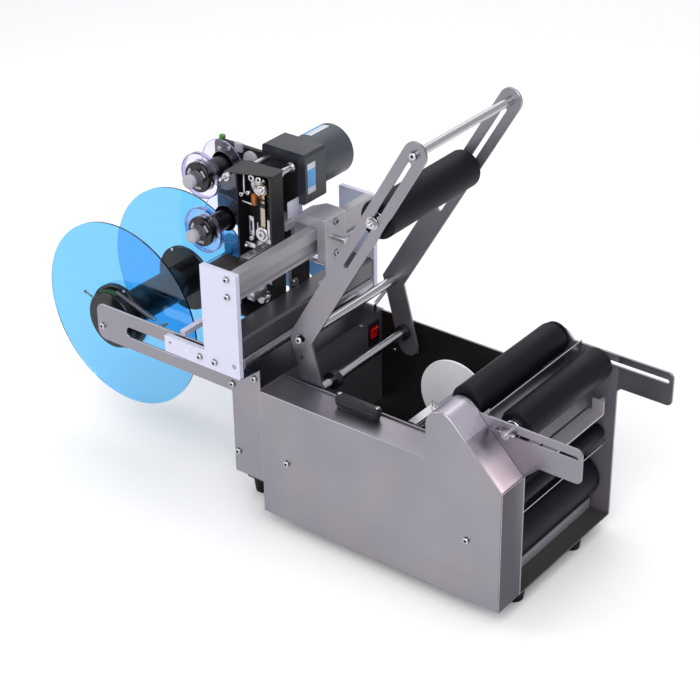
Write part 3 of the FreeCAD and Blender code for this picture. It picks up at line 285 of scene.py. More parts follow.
def ground_steel(name, colour, roughness=0.2):
    """Ground steel: bright, with fine turning rings round the shaft that catch the light."""
    material = new_finish(name)
    rings = grain_noise(material, (30.0, 900.0, 30.0), 2.0)
    set_shader(
        material,
        Base_Color=shade_between(material, rings, tinted(colour, 0.85), tinted(colour, 1.1)),
        Metallic=1.0,
        Roughness=value_between(material, rings, roughness * 0.7, roughness * 1.4),
        Normal=bump(material, rings, 0.02, 0.3),
    )
    return material


def anodised_plate(name, colour):
    """Bead-blasted anodised aluminium: a pale matt plate with a faint mottle."""
    material = new_finish(name)
    mottle = grain_noise(material, (60.0, 60.0, 60.0), 4.0)
    blast = grain_noise(material, (900.0, 900.0, 900.0), 2.0)
    set_shader(
        material,
        Base_Color=shade_between(material, mottle, tinted(colour, 0.94), tinted(colour, 1.04)),
        Metallic=0.2,
        Roughness=value_between(material, mottle, 0.42, 0.55),
        Normal=bump(material, blast, 0.02, 0.3),
    )
    return material


def moulded_rubber(name, colour, roughness=0.5, grit=700.0):
    """Moulded rubber sleeve: nearly black, a soft broad highlight and a fine ground surface."""
    material = new_finish(name)
    skin = grain_noise(material, (grit, grit, grit), 3.0)
    scuffs = grain_noise(material, (18.0, 9.0, 18.0), 4.0)
    set_shader(
        material,
        Base_Color=shade_between(material, scuffs, tinted(colour, 0.8), tinted(colour, 1.3)),
        Roughness=value_between(material, scuffs, roughness * 0.85, roughness * 1.15),
        Specular_IOR_Level=0.17,
        Normal=bump(material, skin, 0.05, 0.4),
    )
    return material


def painted(name, colour, roughness=0.4, peel=260.0, depth=0.04):
    """Sprayed enamel: even colour with an orange-peel ripple in its gloss."""
    material = new_finish(name)
    ripple = grain_noise(material, (peel, peel, peel), 2.0)
    dust = grain_noise(material, (35.0, 35.0, 35.0), 4.0)
    set_shader(
        material,
        Base_Color=shade_between(material, dust, tinted(colour, 0.85), tinted(colour, 1.15)),
        Roughness=value_between(material, dust, roughness * 0.85, roughness * 1.2),
        Normal=bump(material, ripple, depth, 0.4),
    )
    return material


def blackened_metal(name, colour, roughness=0.36):
    """Black anodised metal: deep black that still shows a grey metallic sheen at its edges."""
    material = new_finish(name)
    cloud = grain_noise(material, (45.0, 45.0, 45.0), 4.0)
    set_shader(
        material,
        Base_Color=shade_between(material, cloud, tinted(colour, 0.8), tinted(colour, 1.35)),
        Metallic=0.25,
        Roughness=value_between(material, cloud, roughness * 0.85, roughness * 1.2),
        Normal=bump(material, grain_noise(material, (800.0, 800.0, 800.0), 2.0), 0.02, 0.3),
    )
    return material


def cast_acrylic(name, colour, roughness=0.03):
    """Cast acrylic sheet: see-through, its tint deeper where two sheets overlap, glossy faces."""
    material = new_finish(name)
    haze = grain_noise(material, (25.0, 25.0, 25.0), 3.0)
    set_shader(
        material,
        Base_Color=shade_between(material, haze, tinted(colour, 0.97), tinted(colour, 1.03)),
        Roughness=value_between(material, haze, roughness * 0.6, roughness * 1.6),
        IOR=1.49,
        Transmission_Weight=1.0,
    )
    return material


def banded_foil(name, band, ground):
    """Printed foil with no words: one plain band between two pale margins."""
    material = new_finish(name)
    where = add_node(material, "ShaderNodeTexCoord")
    axes = add_node(material, "ShaderNodeSeparateXYZ", {"Vector": where.outputs["Generated"]})
    inside = add_node(material, "ShaderNodeMath", {0: axes.outputs["Z"], 1: 0.5, 2: 0.3}, operation="COMPARE")
    set_shader(
        material,
        Base_Color=shade_between(material, inside.outputs[0], ground, band),
        Roughness=value_between(material, grain_noise(material, (90.0, 90.0, 90.0)), 0.25, 0.4),
    )
    return material


def woven_strap(name, colour):
    """Woven strap: dark green cloth with a close rib across it."""
    material = new_finish(name)
    where = add_node(material, "ShaderNodeTexCoord")
    rib = add_node(material, "ShaderNodeTexWave", {
        "Vector": where.outputs["Object"], "Scale": 160.0, "Distortion": 0.6, "Detail": 1.0,
    }, bands_direction="Y")
    set_shader(
        material,
        Base_Color=shade_between(material, rib.outputs["Fac"], tinted(colour, 0.6), tinted(colour, 1.5)),
        Roughness=0.75,
        Normal=bump(material, rib.outputs["Fac"], 0.2, 0.6),
    )
    return material


FINISHES = {}


def make_finishes():
    """Make every finish from the panel's colours."""
    c = colours()
    grain = sizes().grain
    steel, shaft, anodised, aluminium = tuple(c.steel), tuple(c.shaft), tuple(c.anodised), tuple(c.aluminium)
    rubber, black, plastic, motor = tuple(c.rubber), tuple(c.blackened), tuple(c.handle), tuple(c.motor)
    FINISHES.update({
        "sheet": brushed("Brushed stainless sheet", steel, "X", 0.34, grain),
        # The cover, wall, tray and box finishes are copies of the stainless that carry the painted light and shade
        # zones
        "cover": brushed("Brushed stainless cover", steel, "X", 0.34, grain),
        # Painted highlight: eased sheet edges take a steel colour half again as bright, and eased edges of pale
        # plates a slightly brighter anodised colour
        "edge_highlight_steel": brushed("Sheet edge painted highlight", tinted(steel, 1.5), "X", 0.3, grain),
        "edge_pale": anodised_plate("Anodised edge", tinted(anodised, 1.15)),
        "arm": brushed("Brushed stainless arm", tinted(steel, 0.9), "Z", 0.3, grain),
        "far_arm": brushed("Brushed stainless far arm", tinted(steel, 0.9), "Z", 0.36, grain, 0.7),
        "near_wall": brushed("Near wall stainless", tinted(steel, 0.95), "X", 0.34, grain),
        "far_wall": brushed("Far wall stainless", steel, "X", 0.34, grain),
        # Painted shade: the tray's stainless is halved in colour, as it lies in shade between the walls
        "tray": brushed("Tray stainless", tinted(steel, 0.5), "Y", 0.4, grain),
        "step": anodised_plate("Satin step strip", linear("#8d8b92")),
        "box": brushed("Control box stainless", tinted(steel, 0.9), "Y", 0.34, grain),
        "satin": anodised_plate("Satin sensor strip", linear("#a9a4ac")),
        "shaft": ground_steel("Ground steel shaft", shaft),
        "zinc": ground_steel("Bright zinc plating", shaft, 0.22),
        "dark_shaft": ground_steel("Oiled steel shaft", tinted(shaft, 0.45), 0.26),
        "anodised": anodised_plate("Pale anodised plate", anodised),
        "aluminium": brushed("Mill aluminium", aluminium, "Y", 0.36, grain),
        "rail": brushed("Extruded aluminium rail", tinted(aluminium, 1.15), "Y", 0.34, grain, 0.5),
        "low_rail": brushed("Satin lower rail", tinted(aluminium, 0.46), "Y", 0.36, grain, 0.8),
        "tube": brushed("Polished aluminium tube", tinted(aluminium, 1.25), "Y", 0.24, grain),
        "rubber": moulded_rubber("Cushion rubber", rubber),
        "foot": moulded_rubber("Foot rubber", tinted(rubber, 0.8), 0.62),
        "belt": moulded_rubber("Belt rubber", tinted(rubber, 0.7), 0.7),
        "black": blackened_metal("Black anodised metal", black),
        "black_gloss": blackened_metal("Black gloss enamel", tinted(black, 0.9), 0.22),
        "motor": painted("Motor enamel", motor, 0.38),
        "gearbox": painted("Gearbox enamel", tinted(motor, 0.55), 0.34),
        "handle": painted("Handle plastic", tinted(plastic, 0.7), 0.3, 500.0, 0.02),
        "plastic": painted("Black moulded plastic", tinted(plastic, 0.6), 0.42, 500.0, 0.02),
        "rocker": painted("Red rocker plastic", tuple(c.rocker), 0.28, 500.0, 0.01),
        "winder": painted("Satin white winder disc", tuple(c.winder), 0.35, 400.0, 0.01),
        "knob": painted("Pale grey knob plastic", linear("#a5a3ac"), 0.35, 500.0, 0.02),
        "collar": painted("Smoke grey collar plastic", linear("#5c5a63"), 0.35, 500.0, 0.02),
        "disc": cast_acrylic("Blue cast acrylic", tuple(c.disc)),
        "ribbon": cast_acrylic("Clear cast acrylic", tuple(c.ribbon)),
        "edge": cast_acrylic("Violet acrylic rim", tuple(c.edge), 0.08),
        "rod": ground_steel("Nickel plated rod", linear("#b5a793"), 0.24),
        "resin": painted("Amber insulator resin", tuple(c.resin), 0.3, 300.0, 0.02),
        "alloy": ground_steel("Pulley alloy", tinted(shaft, 0.9), 0.3),
        "coder_top": painted("Grey coder cover enamel", linear("#1c1b20"), 0.36),
        "clamp": brushed("Machined aluminium clamp", tinted(aluminium, 1.5), "Z", 0.4, grain, 0.6),
        "band": banded_foil("Plain blue band", tuple(c.band), linear("#c9cdd6")),
        "strap": woven_strap("Woven brake strap", linear("#1d4a2c")),
        # Painted shade: the dark colour of screw sockets, of the seats under screw heads, of the arms' spare holes
        # and of the coder's plate slot
        "socket": blackened_metal("Hex socket shade", linear("#151416"), 0.5),
        "green": painted("Green knob plastic", linear("#3f7a3a"), 0.4, 500.0, 0.02),
    })


def painted_light_and_tint_zones():
    """Painted light and shade: zones where a folded sheet or box is made lighter or darker than the rest of it to
    stand in for how light falls on it, and one straw heat tint.
    """
    # Painted highlight: the cover's folds past its side are brightened, a band under the ledge's top by a quarter and
    # the hump, ledge and slope more than twice; a painted dark reflection forms a smoky band across the slope; a
    # straw heat tint low on the slope is also brightened as a painted highlight
    folded_in = above("Y", 1.4)
    on_slope = [folded_in, below("X", -1.4), above("X", -60), above("Z", 186)]
    painted_sheen = (2.22, 2.15, 2.25)
    tint_zone("cover", [folded_in, below("X", -60), below("Z", 207), above("Z", 205.4)], (1.25, 1.22, 1.25))
    tint_zone("cover", [folded_in, above("Z", 207)], painted_sheen)
    tint_zone("cover", on_slope + [below("Z", 207)], painted_sheen)
    tint_zone("cover", on_slope + [fading("Z", 272, 256), fading("Z", 226, 242)], (0.66, 0.65, 0.66))
    tint_zone("cover", on_slope + [fading("Z", 242, 222)], (1.12, 1.02, 0.99), 0.5)
    # Painted shade: its front return is darkened to a third of its side
    tint_zone("cover", [above("X", -1.4), below("Z", 206)], (0.32, 0.315, 0.33))

    # Painted shade inside the bay: the inner faces of both walls and the tray are darkened to the bay shade colour
    # and made unmetallic; painted shade where the front rollers turn: the far wall and tray are darkened to grey
    # there and made less metallic
    painted_shade = tuple(part / whole for part, whole in zip(colours().bay_shade, colours().steel))
    in_bay = [below("X", -106), below("Z", 207.6)]
    in_front = [above("X", -106), below("X", 0.2)]
    tint_zone("near_wall", in_bay + [above("Y", 54.4)], painted_shade, 0.0)
    tint_zone("far_wall", in_bay + [below("Y", 292)], painted_shade, 0.0)
    tint_zone("far_wall", in_front + [below("Y", 292)], (0.6, 0.57, 0.6), 0.3)
    tint_zone("tray", in_bay, tinted(painted_shade, 2.0), 0.0)
    tint_zone("tray", in_front + [above("X", -33)], (0.5, 0.5, 0.42), 0.3)

    # Painted shade: the control box is darkened in front and on top, and the rocker's lower half is painted near
    # black, as it is unlit
    tint_zone("box", [above("X", -413.8), below("Z", 209.6)], (0.5, 0.47, 0.5), 0.4)
    tint_zone("box", [above("Z", 209.6)], (0.22, 0.21, 0.23))
    tint_zone("rocker", [below("Z", 171)], (0.03, 0.03, 0.03))


# The finish of each CAD piece
CAD_PIECES = {
    "cover": "near_cover",
    "near_wall": "near_side_plate",
    "far_wall": "far_side_plate",
    "tray": "base_tray",
    "box": "control_box",
    "plastic": "power_inlet",
    "rocker": "power_rocker",
    "foot": "rubber_feet",
    "zinc": "machine_screws near_wing_nut far_wing_nut press_roller_shaft lock_screw coder_posts "
            "coder_crank print_head",
    "handle": "ledge_handle",
    "sheet": "near_reel_arm far_reel_arm peel_plate",
    "satin": "sensor_bar",
    "rubber": "roller_a roller_b guide_roller drive_roller press_roller",
    "shaft": "roller_b_shaft drive_shaft winder_shaft tie_rod handle_bar arm_pivot_shaft reel_shaft "
             "brake_spring head_spacers",
    "winder": "winder_disc",
    "motor": "drive_motor coder_motor",
    "alloy": "motor_pulley",
    "belt": "drive_belt",
    "arm": "near_press_arm far_press_arm",
    "black": "shaft_collars coder_body coder_back_plate",
    "dark_shaft": "return_spring",
    "black_gloss": "reel_core",
    "disc": "reel_discs",
    "strap": "brake_strap",
    "anodised": "near_head_plate far_head_plate rear_cross_bar",
    "rail": "front_rail lower_rail",
    "tube": "roller_tube",
    "clamp": "clamp_block",
    "gearbox": "coder_gearbox",
    "rod": "connecting_rod",
    "ribbon": "upper_ribbon_reel lower_ribbon_reel",
}


# Shapes

def side_of(axis):
    """A direction square to the axis, to measure radii along."""
    return axis.cross(UP).normalized() if abs(axis.z) < 0.9 else FORWARD.copy()


def spin_profile(bm, centre, axis, steps, segments=40):
    """Turn (along, radius) steps, in millimetres, round an axis through the centre."""
    side = side_of(axis)
    verts = [bm.verts.new(centre + axis * along * MM + side * radius * MM) for along, radius in steps]
    edges = [bm.edges.new(pair) for pair in zip(verts, verts[1:])]
    bmesh.ops.spin(bm, geom=verts + edges, cent=centre, axis=axis, angle=math.tau,
                   steps=segments, use_merge=True)


def washer(bm, x, z, y0, y1, outer, inner, segments=32):
    """Ring with its axis along Y, between two places across the drawing, its outer edges eased."""
    ease = min(0.6, (y1 - y0) / 4)
    steps = [(y0, inner), (y0, outer - ease), (y0 + ease, outer), (y1 - ease, outer), (y1, outer - ease),
             (y1, inner), (y0, inner)]
    spin_profile(bm, place(x, 0, z), ACROSS, steps, segments)


def stud(bm, x, z, y0, y1, radius, segments=20):
    """Round pin along Y with eased ends."""
    ease = min(0.6, radius / 3)
    steps = [(y0, 0), (y0, radius - ease), (y0 + ease, radius), (y1 - ease, radius), (y1, radius - ease), (y1, 0)]
    spin_profile(bm, place(x, 0, z), ACROSS, steps, segments)


def button(bm, seat, axis, sunk, radius, height, ease):
    """Round head standing on a seat, sunk a little into it, its top edge eased."""
    steps = [(-sunk, 0), (-sunk, radius), (height - ease, radius), (height, radius - ease), (height, 0)]
    spin_profile(bm, seat, axis, steps, 16)


def wire_ring(bm, centre, axis, radius, wire):
    """Closed ring of round wire; radius and wire in millimetres."""
    side = side_of(axis)
    section = bmesh.ops.create_circle(bm, cap_ends=False, radius=wire / 2 * MM, segments=8,
                                      matrix=facing(centre + side * radius * MM, axis.cross(side)))
    geom = section["verts"] + list({e for v in section["verts"] for e in v.link_edges})
    bmesh.ops.spin(bm, geom=geom, cent=centre, axis=axis, angle=math.tau, steps=28, use_merge=True)


def extruded(bm, corners, along):
    """Prism on (x, y, z) corners of the drawing, drawn out along a vector in millimetres."""
    face = bm.faces.new([bm.verts.new(place(*corner)) for corner in corners])
    made = bmesh.ops.extrude_face_region(bm, geom=[face])
    moved = [item for item in made["geom"] if isinstance(item, bmesh.types.BMVert)]
    bmesh.ops.translate(bm, vec=along * MM, verts=moved)


def facing(centre, axis):
    """Matrix that lays a flat shape square to the axis at the centre."""
    return Matrix.Translation(centre) @ axis.to_track_quat("Z", "Y").to_matrix().to_4x4()


def ring_loop(bm, centre, axis, radius, sides):
    """Edges of a flat ring; radius in millimetres."""
    made = bmesh.ops.create_circle(bm, cap_ends=False, radius=radius * MM, segments=sides,
                                   matrix=facing(centre, axis))
    verts = made["verts"]
    return list({edge for vert in verts for edge in vert.link_edges})


def socket_head(bm, seat, axis, radius, height, socket):
    """Cap screw head on a thin seat, with a six-sided socket sunk in it; the seat and the socket take the second
    finish, a painted shade.
    """
    levels = [(0, radius + 0.5, 24), (0.4, radius + 0.5, 24), (0.4, radius, 24), (height - 0.8, radius, 24),
              (height, radius - 0.8, 24), (height, socket / 2, 6), (height - 2.0, socket / 2, 6)]
    loops = []
    for along, reach, sides in levels:
        loops.append(ring_loop(bm, seat + axis * along * MM, axis, reach, sides))
    for level, (lower, upper) in enumerate(zip(loops, loops[1:])):
        made = bmesh.ops.bridge_loops(bm, edges=lower + upper)
        for face in made["faces"]:
            face.material_index = int(level in (0, 1, len(loops) - 2))
    bmesh.ops.contextual_create(bm, geom=loops[0])
    for face in bmesh.ops.contextual_create(bm, geom=loops[-1])["faces"]:
        face.material_index = 1


def soft_box(bm, low, high, edge=0.6):
    """Box between two corners of the drawing, its edges eased."""
    size = [high[i] - low[i] for i in range(3)]
    middle = place(*[(high[i] + low[i]) / 2 for i in range(3)])
    made = bmesh.ops.create_cube(bm, size=1.0)
    bmesh.ops.scale(bm, vec=Vector(size) * MM, verts=made["verts"])
    bmesh.ops.translate(bm, vec=middle, verts=made["verts"])
    edges = list({e for v in made["verts"] for e in v.link_edges})
    bmesh.ops.bevel(bm, geom=edges, offset=min(edge, min(size) * 0.3) * MM, segments=2, profile=0.5,
                    affect="EDGES", material=-1, clamp_overlap=True)


def coil(bm, start, end, radius, wire, pitch):
    """Wire wound round the line from start to end; all lengths in metres."""
    along = end - start
    axis = along.normalized()
    side = side_of(axis)
    turns = max(2, round(along.length / pitch))
    steps = turns * 14
    section = bmesh.ops.create_circle(bm, cap_ends=True, radius=wire / 2, segments=6,
                                      matrix=facing(start + side * radius, axis.cross(side)))
    geom = section["verts"] + list({e for v in section["verts"] for e in v.link_edges})
    bmesh.ops.spin(bm, geom=geom, cent=start, axis=axis, dvec=along / steps,
                   angle=math.tau * turns, steps=steps, use_merge=False)


def finish_piece(bm, name, body, finish, smooth_angle=35.0, node=None):
    """Close the mesh, face it outward, shade it, let it ride on its body and take a CAD node's place."""
    bmesh.ops.remove_doubles(bm, verts=bm.verts, dist=0.00002)
    bmesh.ops.recalc_face_normals(bm, faces=bm.faces)
    limit = math.radians(smooth_angle)
    for face in bm.faces:
        face.smooth = True
    for edge in bm.edges:
        edge.smooth = len(edge.link_faces) == 2 and edge.calc_face_angle(0) < limit
    mesh = bpy.data.meshes.new(name)
    bm.to_mesh(mesh)
    bm.free()
    piece = bpy.data.objects.new(name, mesh)
    bpy.context.scene.collection.objects.link(piece)
    for part in [finish] if isinstance(finish, str) else finish:
        mesh.materials.append(FINISHES[part])
    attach(piece, body)
    if node:
        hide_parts(node)


def body_of(node):
    """The moving body that a CAD piece belongs to."""
    bodies = frame["record"]["behaviour"]["bodies"]
    return next(body for body, nodes in bodies.items() if node in nodes)


def eased_copy(node, finish, edge_finish, slot, width):
    """The CAD piece with its sharp edges eased, as cut and folded sheet has them; the eased faces take the edge
    finish, a brighter colour that is a painted highlight.
    """
    bm = bmesh.new()
    bm.from_mesh(frame["nodes"][node].data)
    bmesh.ops.remove_doubles(bm, verts=bm.verts, dist=0.00001)
    bmesh.ops.dissolve_limit(bm, angle_limit=math.radians(0.5), verts=bm.verts, edges=bm.edges)
    for face in bm.faces:
        face.material_index = 0
    sharp = [edge for edge in bm.edges if len(edge.link_faces) == 2 and edge.calc_face_angle(0) > math.radians(40)]
    if node == "near_cover":
        # The cover's rear edges butt against the side plate and stay sharp
        seam = place(-412.5, 0, 0).x
        sharp = [edge for edge in sharp if max(vert.co.x for vert in edge.verts) >= seam]
    made = bmesh.ops.bevel(bm, geom=sharp, offset=width * MM, segments=1, profile=0.5, affect="EDGES",
                           material=-1, clamp_overlap=True)
    for face in made["faces"]:
        face.material_index = 1
    finish_piece(bm, node + "_eased", body_of(node), (finish, edge_finish), node=node)


# Operators

class LABELER_OT_stage(bpy.types.Operator):
    """Pale floor, soft light and the camera at the photograph's angle"""
    bl_idname = "labeler.stage"
    bl_label = "Studio stage"

    def execute(self, context):
        scene = context.scene
        paper = new_finish("Studio paper")
        mottle = grain_noise(paper, (3.0, 3.0, 3.0), 2.0)
        set_shader(paper, Base_Color=shade_between(paper, mottle, linear("#fafafa"), linear("#ffffff")),
                   Roughness=0.9, Specular_IOR_Level=0.1)
        bm = bmesh.new()
        bmesh.ops.create_grid(bm, x_segments=2, y_segments=2, size=14.0)
        mesh = bpy.data.meshes.new("studio_floor")
        bm.to_mesh(mesh)
        bm.free()
        floor = bpy.data.objects.new("studio_floor", mesh)
        mesh.materials.append(paper)
        scene.collection.objects.link(floor)

        world = bpy.data.worlds.new("Studio air")
        world.use_nodes = True
        backdrop = world.node_tree.nodes["Background"]
        backdrop.inputs["Color"].default_value = (0.97, 0.97, 1.0, 1)
        backdrop.inputs["Strength"].default_value = 0.6
        scene.world = world
        lights = (
            ("Key softbox", (1.2, -2.4, 2.6), 60.0, 2.4),
            ("Top softbox", (-0.3, 0.4, 3.0), 24.0, 2.4),
            ("Front softbox", (3.0, -0.2, 1.4), 12.0, 1.6),
            ("Left softbox", (-2.6, -1.6, 1.8), 18.0, 1.6),
            ("Back softbox", (-1.2, 3.0, 2.4), 16.0, 2.4),
        )
        for name, where, watts, size in lights:
            lamp = bpy.data.lights.new(name, "AREA")
            lamp.energy = watts
            lamp.size = size
            holder = bpy.data.objects.new(name, lamp)
            holder.location = where
            aim = Vector((0.0, 0.0, 0.2)) - Vector(where)
            holder.rotation_euler = aim.to_track_quat("-Z", "Y").to_euler()
            scene.collection.objects.link(holder)

        # Heading, pitch and roll of the camera fitted to the photograph, with a 1884 pixel focal length of 700
        camera = bpy.data.cameras.new("Photo camera")
        camera.sensor_width = 36.0
        camera.lens = 1883.6 / 700 * camera.sensor_width
        heading, pitch, roll = math.radians(37.816), math.radians(30.213), math.radians(-0.816)
        sight = Vector((-math.sin(heading) * math.cos(pitch), math.cos(heading) * math.cos(pitch), -math.sin(pitch)))
        turn = sight.to_track_quat("-Z", "Y").to_matrix().to_4x4() @ Matrix.Rotation(roll, 4, "Z")
        holder = bpy.data.objects.new("Photo camera", camera)
        holder.matrix_world = Matrix.Translation(Vector((1.48397, -1.87706, 1.62993))) @ turn
        scene.collection.objects.link(holder)
        scene.camera = holder
        scene.view_settings.view_transform = "Standard"
        return {"FINISHED"}


class LABELER_OT_finishes(bpy.types.Operator):
    """Make the finishes and give one to every CAD piece"""
    bl_idname = "labeler.finishes"
    bl_label = "Finishes"

    def execute(self, context):
        make_finishes()
        painted_light_and_tint_zones()
        for finish, nodes in CAD_PIECES.items():
            for node in nodes.split():
                for slot in frame["nodes"][node].material_slots:
                    slot.material = FINISHES[finish]
        return {"FINISHED"}


# Sheet pieces: CAD node, finish, finish of its edges, slot and width of the eased edge in millimetres
EASED = (
    ("near_cover", "cover", "edge_highlight_steel", "steel_sheet", 0.7),
    ("near_side_plate", "near_wall", "edge_highlight_steel", "steel_sheet", 0.6),
    ("far_side_plate", "far_wall", "edge_highlight_steel", "steel_sheet", 0.6),
    ("near_press_arm", "arm", "edge_highlight_steel", "steel_sheet", 0.5),
    ("far_press_arm", "far_arm", "edge_highlight_steel", "steel_sheet", 0.5),
    ("near_reel_arm", "sheet", "edge_highlight_steel", "steel_sheet", 0.5),
    ("far_reel_arm", "sheet", "edge_highlight_steel", "steel_sheet", 0.5),
    ("near_head_plate", "anodised", "edge_pale", "anodised", 1.0),
    ("far_head_plate", "anodised", "edge_pale", "anodised", 1.0),
    ("clamp_block", "clamp", "edge_pale", "anodised", 0.8),
    ("lower_rail", "low_rail", "edge_highlight_steel", "anodised", 0.6),
    ("peel_plate", "sheet", "edge_highlight_steel", "steel_sheet", 0.4),
)


class LABELER_OT_sheets(bpy.types.Operator):
    """Sheets, arms and plates with eased edges that carry a painted highlight"""
    bl_idname = "labeler.sheets"
    bl_label = "Eased sheets"

    def execute(self, context):
        for row in EASED:
            eased_copy(*row)
        return {"FINISHED"}


class LABELER_OT_screws(bpy.types.Operator):
    """Cap screws with hex sockets on the plates, arms and walls"""
    bl_idname = "labeler.screws"
    bl_label = "Cap screws"

    def execute(self, context):
        bm = bmesh.new()
        socket = sizes().socket / MM
        near = -ACROSS
        for x, z in HEAD_SCREWS:
            socket_head(bm, place(x, -15, z), near, *HEAD, socket)
            socket_head(bm, place(x, 311.5, z), ACROSS, *HEAD, socket)
        for x, z in SIDE_SCREWS:
            socket_head(bm, place(x, 0, z), near, *HEAD, socket)
        for x, z in INNER_SCREWS:
            socket_head(bm, place(x, 291.4, z), near, 3.4, 3.0, 3.4)
        stud(bm, -348, 174, 283.2, 291.6, 2.4, 16)
        button(bm, place(-405, 228.4, 210), UP, 0.3, 3, 2.2, 0.6)
        socket_head(bm, place(REEL_AXIS[0], 297.4, REEL_AXIS[1]), ACROSS, *HEAD, socket)
        stud(bm, *BRAKE_STUD, 3, 21, 2.5, 16)
        finish_piece(bm, "socket_screws", "frame", ("zinc", "socket"), node="machine_screws")

        bm = bmesh.new()
        for x, z in ARM_SCREWS:
            socket_head(bm, place(x, 53.4, z), near, 5.5, 3.0, socket)
            socket_head(bm, place(x, 285.1, z), ACROSS, 5.5, 3.0, socket)
        finish_piece(bm, "arm_end_screws", "press_arms", ("zinc", "socket"))
        bm = bmesh.new()
        for z in (397.3, 347):
            socket_head(bm, place(-420, 191, z), FORWARD, 5.0, 2.4, socket)
        finish_piece(bm, "clamp_screws", "carriage", ("zinc", "socket"))
        bm = bmesh.new()
        for y, side in ((-14.8, -1), (311.3, 1)):
            spin_profile(bm, place(-537, y, 237), ACROSS * side, [(0, 0), (0, 3.4), (0.5, 3.2), (0.5, 0)], 20)
        finish_piece(bm, "head_plugs", "frame", "edge_pale")
        bm = bmesh.new()
        # Painted shade: thin dark discs stand in for the shade inside two spare holes
        for y, side in ((56.4, -1), (282.1, 1)):
            spin_profile(bm, place(-380, y, 247), ACROSS * side, [(0, 0), (0, 2.6), (0.15, 2.6), (0.15, 0)], 16)
        finish_piece(bm, "arm_spare_holes", "press_arms", "socket")
        bm = bmesh.new()
        for low, high in ((46.5, 51.4), (286.9, 291.8)):
            stud(bm, *PRESS_AXIS, low, high, 3.3, 16)
        for low, high in ((55.3, 56.15), (282.35, 283.2)):
            washer(bm, *PRESS_AXIS, low, high, 9.5, 6.0)
        finish_piece(bm, "press_nut_washers", "press_shaft", "zinc")
        return {"FINISHED"}


class LABELER_OT_springs(bpy.types.Operator):
    """Coil springs of the press arms and of the reel brake, with their end loops"""
    bl_idname = "labeler.springs"
    bl_label = "Coil springs"

    def execute(self, context):
        wire = sizes().spring_wire
        pitch = sizes().spring_pitch
        low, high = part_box("return_spring")
        bm = bmesh.new()
        middle_y = (low[1] + high[1]) / 2
        coil(bm, Vector((low[0] + 0.003, middle_y, low[2] + 0.002)),
             Vector((high[0] - 0.003, middle_y, high[2] - 0.002)), 0.0025, wire, pitch)
        finish_piece(bm, "return_coil", "frame", "dark_shaft", 60, "return_spring")

        low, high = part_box("brake_spring")
        start = Vector((low[0] + 0.002, high[1] - 0.0035, high[2] - 0.0036))
        end = Vector((high[0] - 0.001, low[1] + 0.0035, low[2] + 0.0036))
        hook = start.lerp(end, 0.86)
        bm = bmesh.new()
        coil(bm, start, hook, 0.0029, wire * 1.35, wire * 3.4)
        hooked = place(BRAKE_STUD[0], 12, BRAKE_STUD[1])
        wire_ring(bm, hooked, ACROSS, 3.2, wire / MM)
        tail = (end - hook).length / MM
        spin_profile(bm, hook, (end - start).normalized(), [(0, 0), (0, 0.6), (tail, 0.6), (tail, 0)], 10)
        finish_piece(bm, "brake_coil", "frame", "dark_shaft", 60, "brake_spring")
        return {"FINISHED"}


class LABELER_OT_rollers(bpy.types.Operator):
    """Adjustable roller sleeve with its bright bearing ring, and the press roller's end rings"""
    bl_idname = "labeler.rollers"
    bl_label = "Roller ends"

    def execute(self, context):
        bm = bmesh.new()
        sleeve = [(69, 8), (69, 20), (69.7, 22.4), (71.5, 24.2), (74, 25), (275.4, 25), (278, 24.2), (279.8, 22.4),
                  (280.4, 20), (280.4, 8), (69, 8)]
        centre = place(ADJUSTABLE_AXIS[0], 0, ADJUSTABLE_AXIS[1])
        spin_profile(bm, centre, ACROSS, sleeve, 72)
        finish_piece(bm, "adjustable_sleeve", "adjustable_roller", "rubber", 50, "roller_b")
        bm = bmesh.new()
        ring = [(62, 8), (62, 10), (61.4, 10.4), (61.4, 12.6), (62, 13.2), (69, 13.2), (69, 8), (62, 8)]
        spin_profile(bm, centre, ACROSS, ring, 48)
        finish_piece(bm, "adjustable_bearing", "adjustable_roller", "zinc")
        bm = bmesh.new()
        for low, high in ((63.4, 66), (272.4, 275)):
            washer(bm, *PRESS_AXIS, low, high, 14, 9)
        finish_piece(bm, "press_roller_rings", "press_cylinder", "zinc")
        return {"FINISHED"}


class LABELER_OT_rail(bpy.types.Operator):
    """Extruded front rail with its narrow top flange, and the black slide block behind it"""
    bl_idname = "labeler.rail"
    bl_label = "Front rail"

    def execute(self, context):
        bm = bmesh.new()
        section = ((-436.6, 390), (-436, 389.4), (-436, 373), (-442, 373), (-442, 352), (-439, 352), (-439, 347),
                   (-449, 347), (-449, 384), (-452, 384), (-452, 390))
        extruded(bm, [(x, -7, z) for x, z in section], ACROSS * 310.5)
        finish_piece(bm, "extruded_rail", "frame", "rail", node="front_rail")
        bm = bmesh.new()
        soft_box(bm, (-500, -7, 374), (-452.2, 42, 383), 0.6)
        finish_piece(bm, "rail_slide_block", "frame", "black")
        bm = bmesh.new()
        soft_box(bm, (-476, 42, 377), (-460, 96, 386), 0.6)
        soft_box(bm, (-460.2, 46, 379), (-449.2, 92, 383), 0.4)
        for y in (52, 66, 84):
            button(bm, place(-468, y, 386), UP, 0.5, 3, 2.0, 0.4)
        finish_piece(bm, "rail_guide_bar", "frame", "aluminium")
        return {"FINISHED"}


